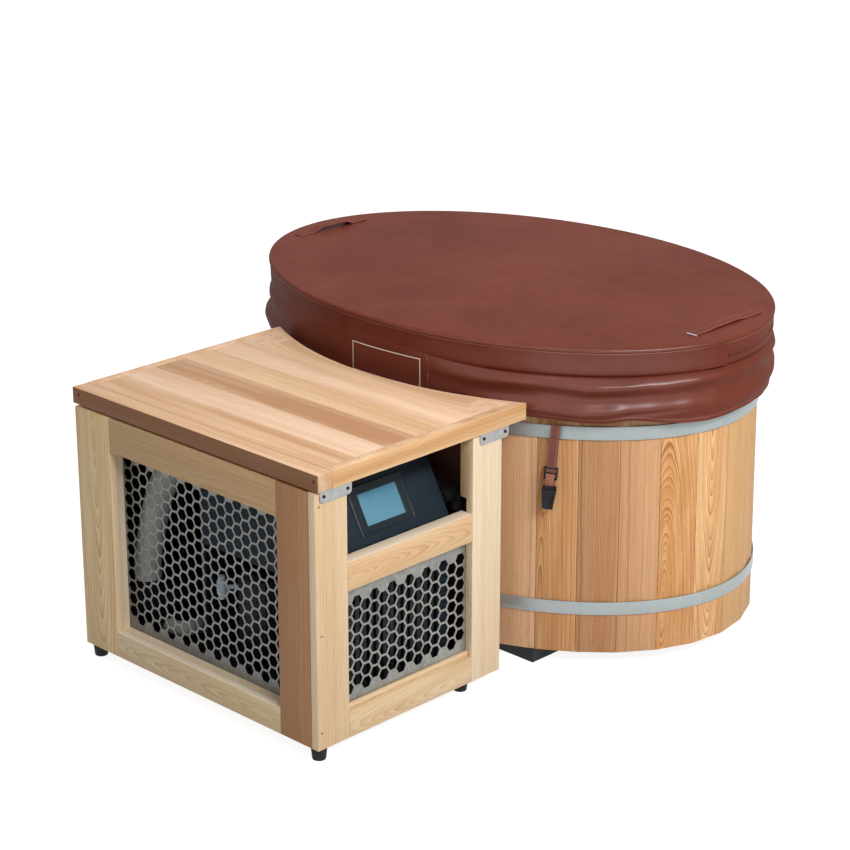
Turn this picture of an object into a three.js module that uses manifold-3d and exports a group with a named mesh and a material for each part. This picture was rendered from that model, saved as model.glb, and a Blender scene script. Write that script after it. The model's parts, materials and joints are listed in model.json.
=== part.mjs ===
// Cold plunge tub: an oval cedar tub with a padded cover, beside a cabinet that holds its water chiller.
// Millimetres, +Z up. The cabinet's front faces -Y and the tub stands on its +X side.

import * as THREE from 'three';
import { mergeVertices } from 'three/addons/utils/BufferGeometryUtils.js';
import Module from 'manifold-3d';

const wasm = await Module();
wasm.setup();

// Shared fits
const fit = 0.3;
const roundSegments = 16;
const overrun = 1;

// Cabinet frame
const cabinetWidth = 540;
const cabinetDepth = 754;
const frameHeight = 561;
const board = 19;
const frontStileWidth = 88;
const sideStileWidth = 94;
const accessHeight = 171;
const midRailHeight = 63;
const midRailThickness = 32;
const lowerRailHeight = 59;
const topRailHeight = 79;
const panelBoardWidth = 90;
const seamWidth = 1.2;
const seamDepth = 1;
const floorThickness = 18;

// Rubber feet
const footHeight = 30;
const footTopRadius = 17.5;
const footBottomRadius = 14.5;
const footInset = 22;
const rightFootInset = 87;
const rightFootSetBack = 35;

// Perforated grilles
const sheetThickness = 1.2;
const hexPitch = 29.2;
const hexAcrossFlats = 24.5;
const hexEdge = 3.5;
const leftGrilleLap = 10;
const leftGrilleMargin = 26;
const frontGrilleLap = 2;
const frontGrilleMargin = 24;
const stopSetBack = 5;
const stopStripWidth = 40;
const beadHeight = 10;
const beadDepth = 8;

// Cabinet lid
const lidThickness = 36.4;
const lidSetIn = 2;
const lidOverhang = 8;
const lidReach = 66;
const lidCutDepth = 96;
const lidEdgeStrip = 40;
const lidEndStrip = 24;
const lidBoardWidth = 85;
const lidCutSegments = 20;
const bracketThickness = 2.5;
const bracketLength = 87;
const bracketLeg = 26;
const bracketFlange = 24;
const bracketShift = 12;
const bracketReach = 18;
const bracketCorner = 9;
const bracketHoleRadius = 2.6;
const bracketHoleInset = 11;

// Water chiller
const casingWidth = 336;
const casingDepth = 413;
const casingHeight = 514;
const casingKnee = 348;
const casingWall = 2;
const casingBehindRail = 25;
const panelLean = THREE.MathUtils.degToRad(29);
const trayHeight = 12;
const bezelWidth = 153;
const bezelHeight = 96;
const bezelThickness = 4;
const bezelRise = 18;
const screenWidth = 106;
const screenHeight = 62;
const screenThickness = 1;
const condenserWidth = 305;
const condenserHeight = 272;
const condenserDepth = 34;
const condenserBorder = 12;
const finCount = 14;
const finGap = 9;
const finCut = 9;
const fanRadius = 112;
const fanHubRadius = 30;
const fanHubLength = 26;
const fanBladeCount = 5;
const fanBladePitch = THREE.MathUtils.degToRad(28);
const fanGap = 12;
const fanShaftRadius = 5;
const motorRadius = 38;
const motorLength = 54;
const motorPostWidth = 44;
const machineGap = 20;
const machineBackGap = 50;
const compressorRadius = 62;
const compressorHeight = 215;
const exchangerRadius = 66;
const exchangerHeight = 340;

// Water circuit
const hoseRadius = 17;
const sleeveRadius = 24;
const hoseSides = 8;
const hoseClearance = 3;
const hoseBend = 42;
const valveHeight = 440;
const valveSetBack = 53;
const valveRadius = 19;
const valveReach = 29;
const valveNeck = 6;
const valveTail = 12;
const handleLength = 60;
const handleWidth = 17;
const handleThickness = 11;
const handleTurn = THREE.MathUtils.degToRad(52);
const pumpRadius = 55;
const pumpThickness = 60;
const pumpMotorRadius = 45;
const pumpMotorLength = 165;
const pumpFootHeight = 10;
const pumpFootInset = 14;
const pumpWallGap = 15;
const pumpGrilleGap = 40;
const pumpPortReach = 13;
const returnHeight = 230;
const fittingFlangeRadius = 30;
const fittingFlange = 8;
const fittingThreadRadius = 20;
const fittingStub = 20;

// Tub
const tubHalfLength = 634;
const tubHalfWidth = 443;
const tubGap = 40;
const tubShift = 34;
const staveCount = 38;
const staveSets = 6;
const fittingStaveWidth = 100;
const staveThickness = 38;
const staveLength = 651;
const staveGroove = 1.5;
const tubFloorThickness = 38;
const tubFloorHeight = 46;
const crozeDepth = 10;
const plinthLength = 798;
const plinthWidth = 720;
const plinthHeight = 31;
const plinthBar = 90;
const hoopWidth = 30;
const hoopThickness = 1.6;
const upperHoopHeight = 530;
const lowerHoopHeight = 123;

// Cover
const coverOverhang = 31;
const coverSteps = 56;
const padThickness = 60;
const padCrown = 6;
const padSideDraw = 4;
const padUnderInset = 10;
const skirtDrop = 107;
const skirtThickness = 3;
const foldDepth = 3.5;
const skirtCrease = 8;
const skirtBelly = 5;
const skirtTuck = 7;
const tightAngle = THREE.MathUtils.degToRad(165);
const tightSpread = THREE.MathUtils.degToRad(48);
const sideBulge = 10;
const bulgeAngle = THREE.MathUtils.degToRad(122);
const bulgeSpread = THREE.MathUtils.degToRad(16);
const hemLift = 5;
const hemWaves = 9;
const hemPeak = THREE.MathUtils.degToRad(-120);
const gripLength = 246;
const gripWidth = 27;
const gripThickness = 3;
const gripEnd = 48;
const gripRamp = 34;
const gripInset = 72;
const frontGripRise = 6;
const backGripRise = 15;
const frontGripShift = 36;
const backGripShift = -8;

// Strap and buckle
const strapAngle = THREE.MathUtils.degToRad(-138);
const strapSetIn = 8;
const strapWidth = 20;
const strapThickness = 3;
const strapLength = 122;
const strapLean = THREE.MathUtils.degToRad(4.5);
const sliderHeight = 12;
const sliderEdge = 3;
const sliderThickness = 9;
const buckleWidth = 29;
const buckleHeight = 62;
const buckleThickness = 12;

// Places worked out from the sizes above
const frameBottom = footHeight;
const frameTop = frameBottom + frameHeight;
const midRailTop = frameTop - accessHeight;
const midRailBottom = midRailTop - midRailHeight;
const lowerRailTop = frameBottom + lowerRailHeight;
const topRailBottom = frameTop - topRailHeight;
const sideFront = board + fit;
const sideBack = cabinetDepth - board - fit;
const openingFront = sideFront + sideStileWidth;
const openingBack = sideBack - sideStileWidth;
const openingRight = cabinetWidth - frontStileWidth;
const lidBottom = frameTop + bracketThickness + 2 * fit;
const lidTop = lidBottom + lidThickness;
const lidRight = cabinetWidth + lidReach;
const floorTop = frameBottom + floorThickness;
const stopBack = 2 * board + fit;
const grilleBack = stopBack + fit + sheetThickness;
const casingLeft = (cabinetWidth - casingWidth) / 2;
const casingRight = casingLeft + casingWidth;
const casingFront = midRailThickness + casingBehindRail;
const casingBack = casingFront + casingDepth;
const casingBottom = floorTop + fit + trayHeight + fit;
const casingTop = casingBottom + casingHeight;
const kneeHeight = casingBottom + casingKnee;
const rightPanelInside = cabinetWidth - board;
const tubX = cabinetWidth + tubGap + tubHalfWidth;
const tubY = cabinetDepth / 2 + tubShift;
const coverHalfLength = tubHalfLength + coverOverhang;
const coverHalfWidth = tubHalfWidth + coverOverhang;
const staveBottom = plinthHeight + fit;
const rimHeight = staveBottom + staveLength;
const padBottom = rimHeight + fit;
const padTop = padBottom + padThickness;
const skirtTop = padBottom - fit;

// Finishes
const paleCedar = { color: 0xe4c79d, roughness: 0.7, metalness: 0 };
const brownCedar = { color: 0x97704f, roughness: 0.7, metalness: 0 };
const lidCedar = { color: 0xd2a67c, roughness: 0.65, metalness: 0 };
const staveCedar = { color: 0xcf9d69, roughness: 0.7, metalness: 0 };
const galvanised = { color: 0xa3a8a9, roughness: 0.45, metalness: 0.8 };
const hoopSteel = { color: 0x95a3a8, roughness: 0.4, metalness: 0.8 };
const blackRubber = { color: 0x17181a, roughness: 0.8, metalness: 0 };
const blackPlastic = { color: 0x1c1e20, roughness: 0.5, metalness: 0 };
const navySheet = { color: 0x1d2a3a, roughness: 0.45, metalness: 0.3 };
const darkGlass = { color: 0x10212c, roughness: 0.15, metalness: 0 };
const screenBlue = { color: 0x5d95b2, roughness: 0.2, metalness: 0 };
const finMetal = { color: 0x3a3d40, roughness: 0.5, metalness: 0.7 };
const blackPaint = { color: 0x121315, roughness: 0.6, metalness: 0.2 };
const greySleeve = { color: 0x8b9190, roughness: 0.8, metalness: 0 };
const maroonVinyl = { color: 0x74402f, roughness: 0.5, metalness: 0 };

// Scene graph helpers
function addMesh(group, name, geometry, look) {
  const mesh = new THREE.Mesh(geometry, new THREE.MeshStandardMaterial(look));
  mesh.name = name;
  group.add(mesh);
  return mesh;
}

function box(x0, x1, y0, y1, z0, z1) {
  const geometry = new THREE.BoxGeometry(x1 - x0, y1 - y0, z1 - z0);
  geometry.translate((x0 + x1) / 2, (y0 + y1) / 2, (z0 + z1) / 2);
  return geometry;
}

function shapeFrom(points) {
  return new THREE.Shape(points.map(([u, v]) => new THREE.Vector2(u, v)));
}

function extrude(shape, depth, curveSegments = 12) {
  return new THREE.ExtrudeGeometry(shape, { depth, bevelEnabled: false, curveSegments });
}

// A shape drawn in X and Y, raised from z0 to z1.
function raise(shape, z0, z1, curveSegments) {
  return extrude(shape, z1 - z0, curveSegments).translate(0, 0, z0);
}

// A shape drawn in X and Z, running from y0 to y1.
function runAlongY(shape, y0, y1, curveSegments) {
  return extrude(shape, y1 - y0, curveSegments).rotateX(Math.PI / 2).translate(0, y1, 0);
}

// A shape drawn in Y and Z, running from x0 to x1.
function runAlongX(shape, x0, x1, curveSegments) {
  const turn = new THREE.Matrix4().makeBasis(
    new THREE.Vector3(0, 1, 0),
    new THREE.Vector3(0, 0, 1),
    new THREE.Vector3(1, 0, 0),
  );
  return extrude(shape, x1 - x0, curveSegments).applyMatrix4(turn).translate(x0, 0, 0);
}

// Round bars along each axis, from one end to the other.
function barAlongX(radius, x0, x1, y, z) {
  const geometry = new THREE.CylinderGeometry(radius, radius, x1 - x0, roundSegments);
  return geometry.rotateZ(-Math.PI / 2).translate((x0 + x1) / 2, y, z);
}

function barAlongY(radius, y0, y1, x, z) {
  const geometry = new THREE.CylinderGeometry(radius, radius, y1 - y0, roundSegments);
  return geometry.translate(x, (y0 + y1) / 2, z);
}

function barAlongZ(radius, z0, z1, x, y) {
  const geometry = new THREE.CylinderGeometry(radius, radius, z1 - z0, roundSegments);
  return geometry.rotateX(Math.PI / 2).translate(x, y, (z0 + z1) / 2);
}

// Solid modelling helpers
function solid(geometry) {
  const bare = geometry.clone();
  bare.deleteAttribute('normal');
  bare.deleteAttribute('uv');
  const merged = mergeVertices(bare);
  return new wasm.Manifold(new wasm.Mesh({
    numProp: 3,
    vertProperties: new Float32Array(merged.attributes.position.array),
    triVerts: new Uint32Array(merged.index.array),
  }));
}

function geometryOf(body) {
  const mesh = body.getMesh();
  const geometry = new THREE.BufferGeometry();
  geometry.setAttribute('position', new THREE.BufferAttribute(new Float32Array(mesh.vertProperties), 3));
  geometry.setIndex(new THREE.BufferAttribute(new Uint32Array(mesh.triVerts), 1));
  geometry.computeVertexNormals();
  return geometry;
}

function join(...geometries) {
  return geometryOf(geometries.map(solid).reduce((sum, next) => sum.add(next)));
}

function cut(geometry, ...tools) {
  return geometryOf(tools.map(solid).reduce((rest, tool) => rest.subtract(tool), solid(geometry)));
}

function common(first, second) {
  return geometryOf(solid(first).intersect(solid(second)));
}

// Moves each side of a counter-clockwise outline out by a distance, or in by a negative one.
function offsetLoop(points, distance) {
  const count = points.length;
  return points.map((point, i) => {
    const before = points[(i + count - 1) % count];
    const after = points[(i + 1) % count];
    const first = new THREE.Vector2(point[1] - before[1], before[0] - point[0]).normalize();
    const second = new THREE.Vector2(after[1] - point[1], point[0] - after[0]).normalize();
    const middle = first.clone().add(second).normalize();
    const reach = distance / middle.dot(first);
    return [point[0] + middle.x * reach, point[1] + middle.y * reach];
  });
}

// A closed skin over rings of points; a loop joins its last ring to its first, else both ends get a cap.
function skin(rings, loop) {
  const steps = rings[0].length;
  const positions = rings.flat(2);
  const index = [];
  const last = loop ? rings.length : rings.length - 1;
  for (let r = 0; r < last; r += 1) {
    const low = r * steps;
    const high = ((r + 1) % rings.length) * steps;
    for (let i = 0; i < steps; i += 1) {
      const j = (i + 1) % steps;
      index.push(low + i, low + j, high + j, low + i, high + j, high + i);
    }
  }
  if (!loop) {
    const top = (rings.length - 1) * steps;
    for (let i = 1; i < steps - 1; i += 1) {
      index.push(0, i + 1, i, top, top + i, top + i + 1);
    }
  }
  const geometry = new THREE.BufferGeometry();
  geometry.setAttribute('position', new THREE.Float32BufferAttribute(positions, 3));
  geometry.setIndex(index);
  geometry.computeVertexNormals();
  return geometry;
}

// A hose of round section along a smooth path.
function hose(points, radius, steps) {
  const route = points.map((point) => new THREE.Vector3(...point));
  const path = new THREE.CatmullRomCurve3(route, false, 'centripetal');
  const section = [];
  for (let i = 0; i < hoseSides; i += 1) {
    const angle = (i / hoseSides) * 2 * Math.PI;
    section.push([radius * Math.cos(angle), radius * Math.sin(angle)]);
  }
  const options = { steps, extrudePath: path, bevelEnabled: false };
  return new THREE.ExtrudeGeometry(shapeFrom(section), options);
}

function rectangle(u0, u1, v0, v1) {
  return [[u0, v0], [u1, v0], [u1, v1], [u0, v1]];
}

// Grooves between the boards of a panel, cut as V shapes along one direction.
function seamShape(position, face, inward) {
  const half = seamWidth / 2;
  const root = [position, face + inward * seamDepth];
  return shapeFrom([[position - half, face], root, [position + half, face]]);
}

function repeatInside(start, end, pitch) {
  const places = [];
  for (let place = start + pitch; place < end - seamWidth; place += pitch) {
    places.push(place);
  }
  return places;
}

// A sheet punched with staggered columns of hexagons, as many as its margins leave room for.
// The raised columns are the even ones (0) or the odd ones (1).
function hexSheet(width, height, margin, raised) {
  const columnPitch = hexPitch * Math.cos(Math.PI / 6);
  const cornerRadius = hexAcrossFlats / 2 / Math.cos(Math.PI / 6);
  const columns = Math.floor((width - 2 * hexEdge - 2 * cornerRadius) / columnPitch) + 1;
  const rows = Math.floor((height - 2 * margin - hexAcrossFlats - hexPitch / 2) / hexPitch) + 1;
  const patternWidth = (columns - 1) * columnPitch;
  const patternHeight = (rows - 1) * hexPitch + hexPitch / 2;
  const firstRow = (height - patternHeight) / 2;
  const sheet = shapeFrom(rectangle(0, width, 0, height));
  for (let column = 0; column < columns; column += 1) {
    const u = (width - patternWidth) / 2 + column * columnPitch;
    for (let row = 0; row < rows; row += 1) {
      const v = firstRow + row * hexPitch + (column % 2 === raised ? hexPitch / 2 : 0);
      const corners = [];
      for (let corner = 0; corner < 6; corner += 1) {
        const angle = (-corner * Math.PI) / 3;
        const across = cornerRadius * Math.cos(angle);
        const up = cornerRadius * Math.sin(angle);
        corners.push(new THREE.Vector2(u + across, v + up));
      }
      sheet.holes.push(new THREE.Path(corners));
    }
  }
  return sheet;
}

// Cabinet: a framed front and left side, board back and right side, floor, feet and grilles
function buildCabinet() {
  const cabinet = new THREE.Group();
  const stiles = [
    ['front_left_stile', 0, frontStileWidth],
    ['front_right_stile', openingRight, cabinetWidth],
  ];
  for (const [name, x0, x1] of stiles) {
    addMesh(cabinet, name, box(x0, x1, 0, board, frameBottom, frameTop), paleCedar);
  }
  const railLeft = frontStileWidth + fit;
  const railRight = openingRight - fit;
  const midRail = box(railLeft, railRight, 0, midRailThickness, midRailBottom, midRailTop);
  addMesh(cabinet, 'front_mid_rail', midRail, paleCedar);
  const lowerRail = box(railLeft, railRight, 0, board, frameBottom, lowerRailTop);
  addMesh(cabinet, 'front_lower_rail', lowerRail, paleCedar);
  const beadBottom = lowerRailTop + fit;
  const bead = box(railLeft, railRight, board - beadDepth, board, beadBottom, beadBottom + beadHeight);
  addMesh(cabinet, 'front_grille_bead', bead, paleCedar);

  const frontStile = box(0, board, sideFront, openingFront, frameBottom, frameTop);
  addMesh(cabinet, 'left_front_stile', frontStile, brownCedar);
  const rearStile = box(0, board, openingBack, sideBack, frameBottom, frameTop);
  addMesh(cabinet, 'left_rear_stile', rearStile, paleCedar);
  const railFront = openingFront + fit;
  const railBack = openingBack - fit;
  const topRail = box(0, board, railFront, railBack, topRailBottom, frameTop);
  addMesh(cabinet, 'left_top_rail', topRail, paleCedar);
  const bottomRail = box(0, board, railFront, railBack, frameBottom, lowerRailTop);
  addMesh(cabinet, 'left_bottom_rail', bottomRail, paleCedar);

  addPanels(cabinet);
  addGrilles(cabinet);

  const floorFront = midRailThickness + fit;
  const floorRight = rightPanelInside - fit;
  const floor = box(stopBack + fit, floorRight, floorFront, sideBack, frameBottom, floorTop);
  addMesh(cabinet, 'cabinet_floor', floor, paleCedar);
  const footPlaces = {
    foot_front_left: [footInset, footInset],
    foot_front_right: [cabinetWidth - rightFootInset, rightFootSetBack],
    foot_rear_left: [footInset, cabinetDepth - footInset],
    foot_rear_right: [cabinetWidth - rightFootInset, cabinetDepth - footInset],
  };
  for (const [name, [x, y]] of Object.entries(footPlaces)) {
    const height = footHeight - fit;
    const foot = new THREE.CylinderGeometry(footTopRadius, footBottomRadius, height, roundSegments);
    addMesh(cabinet, name, foot.rotateX(Math.PI / 2), blackRubber).position.set(x, y, height / 2);
  }
  return cabinet;
}

// The back carries the lid; the right side has the two hose holes.
function addPanels(cabinet) {
  const backTop = lidBottom - fit;
  const backBoards = box(0, cabinetWidth, cabinetDepth - board, cabinetDepth, frameBottom, backTop);
  const backSeams = repeatInside(0, cabinetWidth, panelBoardWidth).map(
    (x) => raise(seamShape(x, cabinetDepth, -1), frameBottom - overrun, backTop + overrun),
  );
  addMesh(cabinet, 'back_panel', cut(backBoards, ...backSeams), paleCedar);

  const sideBoards = box(rightPanelInside, cabinetWidth, sideFront, sideBack, frameBottom, frameTop);
  const sideSeams = repeatInside(sideFront, sideBack, panelBoardWidth).map((y) => {
    const half = seamWidth / 2;
    const groove = [[cabinetWidth, y - half], [cabinetWidth, y + half], [cabinetWidth - seamDepth, y]];
    return raise(shapeFrom(groove), frameBottom - overrun, frameTop + overrun);
  });
  const holeRadius = hoseRadius + hoseClearance;
  const hoseHoles = [valveHeight, returnHeight].map(
    (z) => barAlongX(holeRadius, rightPanelInside - overrun, cabinetWidth + overrun, tubY, z),
  );
  addMesh(cabinet, 'right_panel', cut(sideBoards, ...sideSeams, ...hoseHoles), paleCedar);
}

// The left sheet is held behind an inner stop frame, the front one straight behind the face boards.
function addGrilles(cabinet) {
  const stopFront = openingFront - stopSetBack;
  const stopRear = openingBack + stopSetBack;
  const outerFront = stopFront - stopStripWidth;
  const outerRear = stopRear + stopStripWidth;
  const frameOuter = rectangle(outerFront, outerRear, frameBottom, frameTop);
  const frameInner = rectangle(stopFront, stopRear, lowerRailTop, topRailBottom).reverse();
  const stopFrame = shapeFrom(frameOuter);
  stopFrame.holes.push(new THREE.Path(frameInner.map(([u, v]) => new THREE.Vector2(u, v))));
  addMesh(cabinet, 'left_stop_frame', runAlongX(stopFrame, board + fit, stopBack), paleCedar);

  const leftWidth = stopRear - stopFront + 2 * leftGrilleLap;
  const leftHeight = topRailBottom - lowerRailTop + 2 * leftGrilleLap;
  const leftSheet = hexSheet(leftWidth, leftHeight, leftGrilleMargin, 0);
  const left = addMesh(cabinet, 'left_grille', runAlongX(leftSheet, 0, sheetThickness), galvanised);
  left.position.set(stopBack + fit, stopFront - leftGrilleLap, lowerRailTop - leftGrilleLap);

  const frontLeft = frontStileWidth - frontGrilleLap;
  const frontWidth = openingRight + frontGrilleLap - frontLeft;
  const frontLow = lowerRailTop - frontGrilleLap;
  const frontHeight = midRailBottom - fit - frontLow;
  const frontSheet = hexSheet(frontWidth, frontHeight, frontGrilleMargin, 1);
  const front = addMesh(cabinet, 'front_grille', runAlongY(frontSheet, 0, sheetThickness), galvanised);
  front.position.set(frontLeft, board + fit, frontLow);
}

// Cabinet lid: glued boards between edge strips, with a hollow cut that clears the tub
function buildLid() {
  const lid = new THREE.Group();
  const front = -lidOverhang;
  const back = cabinetDepth + lidOverhang;
  const half = (back - front) / 2;
  const radius = (half * half + lidCutDepth * lidCutDepth) / (2 * lidCutDepth);
  const centre = lidRight - lidCutDepth + radius;
  const sweep = Math.asin(half / radius);
  const outline = new THREE.Shape();
  outline.moveTo(lidSetIn, front);
  outline.lineTo(lidRight, front);
  outline.absarc(centre, front + half, radius, Math.PI + sweep, Math.PI - sweep, true);
  outline.lineTo(lidSetIn, back);
  const slab = raise(outline, lidBottom, lidTop, lidCutSegments);

  const boardsLeft = lidSetIn + lidEdgeStrip + fit;
  const boardsFront = front + lidEndStrip + fit;
  const boardsBack = back - lidEndStrip - fit;
  const boards = common(slab, box(boardsLeft, lidRight, boardsFront, boardsBack, lidBottom, lidTop));
  const seams = repeatInside(boardsLeft, lidRight - lidCutDepth, lidBoardWidth).map(
    (x) => runAlongY(seamShape(x, lidTop, -1), boardsFront - overrun, boardsBack + overrun),
  );
  addMesh(lid, 'lid_panel', cut(boards, ...seams), lidCedar);
  const leftStrip = box(lidSetIn, lidSetIn + lidEdgeStrip, front, back, lidBottom, lidTop);
  addMesh(lid, 'lid_left_strip', leftStrip, brownCedar);
  const frontBox = box(boardsLeft, lidRight, front, front + lidEndStrip, lidBottom, lidTop);
  addMesh(lid, 'lid_front_strip', common(slab, frontBox), lidCedar);
  const backBox = box(boardsLeft, lidRight, back - lidEndStrip, back, lidBottom, lidTop);
  addMesh(lid, 'lid_back_strip', common(slab, backBox), lidCedar);

  const bracketPlaces = {
    lid_bracket_left: bracketShift,
    lid_bracket_right: cabinetWidth - bracketLength + bracketReach,
  };
  for (const [name, x] of Object.entries(bracketPlaces)) {
    addMesh(lid, name, bracketGeometry(), galvanised).position.set(x, -fit, lidBottom - fit);
  }
  return lid;
}

// An angle bracket: its flange lies under the lid, its leg hangs in front of the stile.
function bracketGeometry() {
  const leg = new THREE.Shape();
  leg.moveTo(0, 0);
  leg.lineTo(0, -bracketLeg + bracketCorner);
  leg.absarc(bracketCorner, -bracketLeg + bracketCorner, bracketCorner, Math.PI, 1.5 * Math.PI, false);
  const farCorner = bracketLength - bracketCorner;
  leg.absarc(farCorner, -bracketLeg + bracketCorner, bracketCorner, 1.5 * Math.PI, 2 * Math.PI, false);
  leg.lineTo(bracketLength, 0);
  for (const u of [bracketHoleInset, bracketLength - bracketHoleInset]) {
    const hole = new THREE.Path();
    hole.absarc(u, -bracketLeg / 2, bracketHoleRadius, 0, 2 * Math.PI, true);
    leg.holes.push(hole);
  }
  const upright = runAlongY(leg, -bracketThickness, 0, 5);
  const flange = box(0, bracketLength, -bracketThickness, bracketFlange, -bracketThickness, 0);
  return join(upright, flange);
}

// Chiller: a sheet casing with a leaning control panel, and the machine inside it
function buildChiller() {
  const chiller = new THREE.Group();
  const tray = box(casingLeft, casingRight, casingFront, casingBack, floorTop + fit, casingBottom - fit);
  addMesh(chiller, 'chiller_tray', tray, blackPaint);
  addMesh(chiller, 'chiller_casing', casingGeometry(), navySheet);
  addDisplay(chiller);

  const insideFront = casingFront + casingWall + fit;
  const middle = cabinetWidth / 2;
  const machineBottom = casingBottom + casingWall + fit;
  const condenser = condenserGeometry(middle - condenserWidth / 2, insideFront, machineBottom);
  addMesh(chiller, 'condenser', condenser, finMetal);

  const fanHeight = machineBottom + condenserHeight / 2;
  const fanFront = insideFront + condenserDepth + fanGap;
  const rotor = addMesh(chiller, 'fan_rotor', rotorGeometry(), blackPlastic);
  rotor.position.set(middle, fanFront, fanHeight);
  const motorFront = fanFront + fanHubLength + fit;
  const motorBack = motorFront + motorLength;
  const motor = join(
    barAlongY(motorRadius, motorFront, motorBack, middle, fanHeight),
    barAlongY(fanShaftRadius - fit, motorFront - fanHubLength / 2, motorFront + overrun, middle, fanHeight),
    box(
      middle - motorPostWidth / 2, middle + motorPostWidth / 2,
      motorFront + motorLength / 4, motorBack - motorLength / 4,
      machineBottom, fanHeight,
    ),
  );
  addMesh(chiller, 'fan_motor', motor, blackPaint);

  const machineBack = casingBack - casingWall;
  const compressorX = casingLeft + casingWall + compressorRadius + machineGap;
  const compressorY = machineBack - compressorRadius - machineBackGap;
  const can = canGeometry(compressorRadius, compressorHeight);
  addMesh(chiller, 'compressor', can, blackPaint).position.set(compressorX, compressorY, machineBottom);
  const exchangerX = casingRight - casingWall - exchangerRadius - machineGap;
  const exchanger = canGeometry(exchangerRadius, exchangerHeight);
  const exchangerY = machineBack - exchangerRadius - machineBackGap;
  const exchangerMesh = addMesh(chiller, 'heat_exchanger', exchanger, greySleeve);
  exchangerMesh.position.set(exchangerX, exchangerY, machineBottom);
  return chiller;
}

// The casing is a shell with windows for air at the front and on the left.
function casingGeometry() {
  const lean = (casingTop - kneeHeight) * Math.tan(panelLean);
  const profile = [
    [casingFront, casingBottom],
    [casingBack, casingBottom],
    [casingBack, casingTop],
    [casingFront + lean, casingTop],
    [casingFront, kneeHeight],
  ];
  const inside = offsetLoop(profile, -casingWall);
  const shell = runAlongX(shapeFrom(profile), casingLeft, casingRight);
  const hollow = runAlongX(shapeFrom(inside), casingLeft + casingWall, casingRight - casingWall);
  const middle = cabinetWidth / 2;
  const windowHalf = condenserWidth / 2 - condenserBorder;
  const windowLow = casingBottom + casingWall + condenserBorder;
  const windowHigh = windowLow + condenserHeight - 2 * condenserBorder;
  const frontWindow = box(
    middle - windowHalf, middle + windowHalf,
    casingFront - overrun, casingFront + casingWall + overrun,
    windowLow, windowHigh,
  );
  const sideFrontEdge = casingFront + condenserDepth + fanGap;
  const sideWindow = box(
    casingLeft - overrun, casingLeft + casingWall + overrun,
    sideFrontEdge, casingBack - condenserBorder,
    windowLow, windowHigh,
  );
  return cut(shell, hollow, frontWindow, sideWindow);
}

// The display stands on the leaning panel: a glass bezel with the screen let into its face.
function addDisplay(chiller) {
  const panel = new THREE.Group();
  panel.position.set(cabinetWidth / 2, casingFront, kneeHeight);
  panel.rotation.x = -panelLean;
  const face = -fit - bezelThickness;
  const bezel = box(-bezelWidth / 2, bezelWidth / 2, face, -fit, bezelRise, bezelRise + bezelHeight);
  const middle = bezelRise + bezelHeight / 2;
  const pocketHalf = screenWidth / 2 + fit;
  const pocketReach = screenHeight / 2 + fit;
  const pocketFloor = face + screenThickness + fit;
  const pocket = box(
    -pocketHalf, pocketHalf, face - overrun, pocketFloor, middle - pocketReach, middle + pocketReach,
  );
  addMesh(panel, 'display_bezel', cut(bezel, pocket), darkGlass);
  const halfHeight = screenHeight / 2;
  const screen = box(
    -screenWidth / 2, screenWidth / 2,
    face, face + screenThickness,
    middle - halfHeight, middle + halfHeight,
  );
  addMesh(panel, 'display_screen', screen, screenBlue);
  chiller.add(panel);
}

// A condenser block with upright fins cut into its front between two side borders.
function condenserGeometry(x0, y0, z0) {
  const outline = [[x0 + condenserWidth, y0 + condenserDepth], [x0, y0 + condenserDepth], [x0, y0]];
  const pitch = (condenserWidth - 2 * condenserBorder) / finCount;
  for (let fin = 0; fin < finCount; fin += 1) {
    const start = x0 + condenserBorder + fin * pitch + (pitch - finGap) / 2;
    outline.push([start, y0], [start, y0 + finCut], [start + finGap, y0 + finCut], [start + finGap, y0]);
  }
  outline.push([x0 + condenserWidth, y0]);
  return raise(shapeFrom(outline), z0, z0 + condenserHeight);
}

// An axial rotor about Y: pitched blades on a hub that is bored for the motor's shaft.
function rotorGeometry() {
  const hub = barAlongY(fanHubRadius, 0, fanHubLength, 0, 0);
  const bladeLength = fanRadius - fanHubRadius / 2;
  const blades = [];
  for (let i = 0; i < fanBladeCount; i += 1) {
    const blade = new THREE.CylinderGeometry(fanRadius * 0.42, fanHubRadius * 0.8, bladeLength, 4, 1);
    blade.scale(1, 1, 0.04);
    blade.rotateY(fanBladePitch);
    blade.rotateX(Math.PI / 2);
    blade.translate(0, fanHubLength / 2, fanRadius - bladeLength / 2);
    blade.rotateY((i / fanBladeCount) * 2 * Math.PI);
    blades.push(blade);
  }
  const swept = common(join(hub, ...blades), barAlongY(fanRadius, 0, fanHubLength, 0, 0));
  return cut(swept, barAlongY(fanShaftRadius, fanHubLength / 2 - fit, fanHubLength + overrun, 0, 0));
}

// An upright can with rounded shoulders, standing at its own origin.
function canGeometry(radius, height) {
  const shoulder = radius * 0.45;
  const profile = new THREE.Path();
  profile.moveTo(0, 0);
  profile.lineTo(radius, 0);
  profile.lineTo(radius, height - shoulder);
  profile.bezierCurveTo(radius, height - shoulder / 2, radius / 2, height, 0, height);
  return new THREE.LatheGeometry(profile.getPoints(4), roundSegments).rotateX(Math.PI / 2);
}

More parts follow.
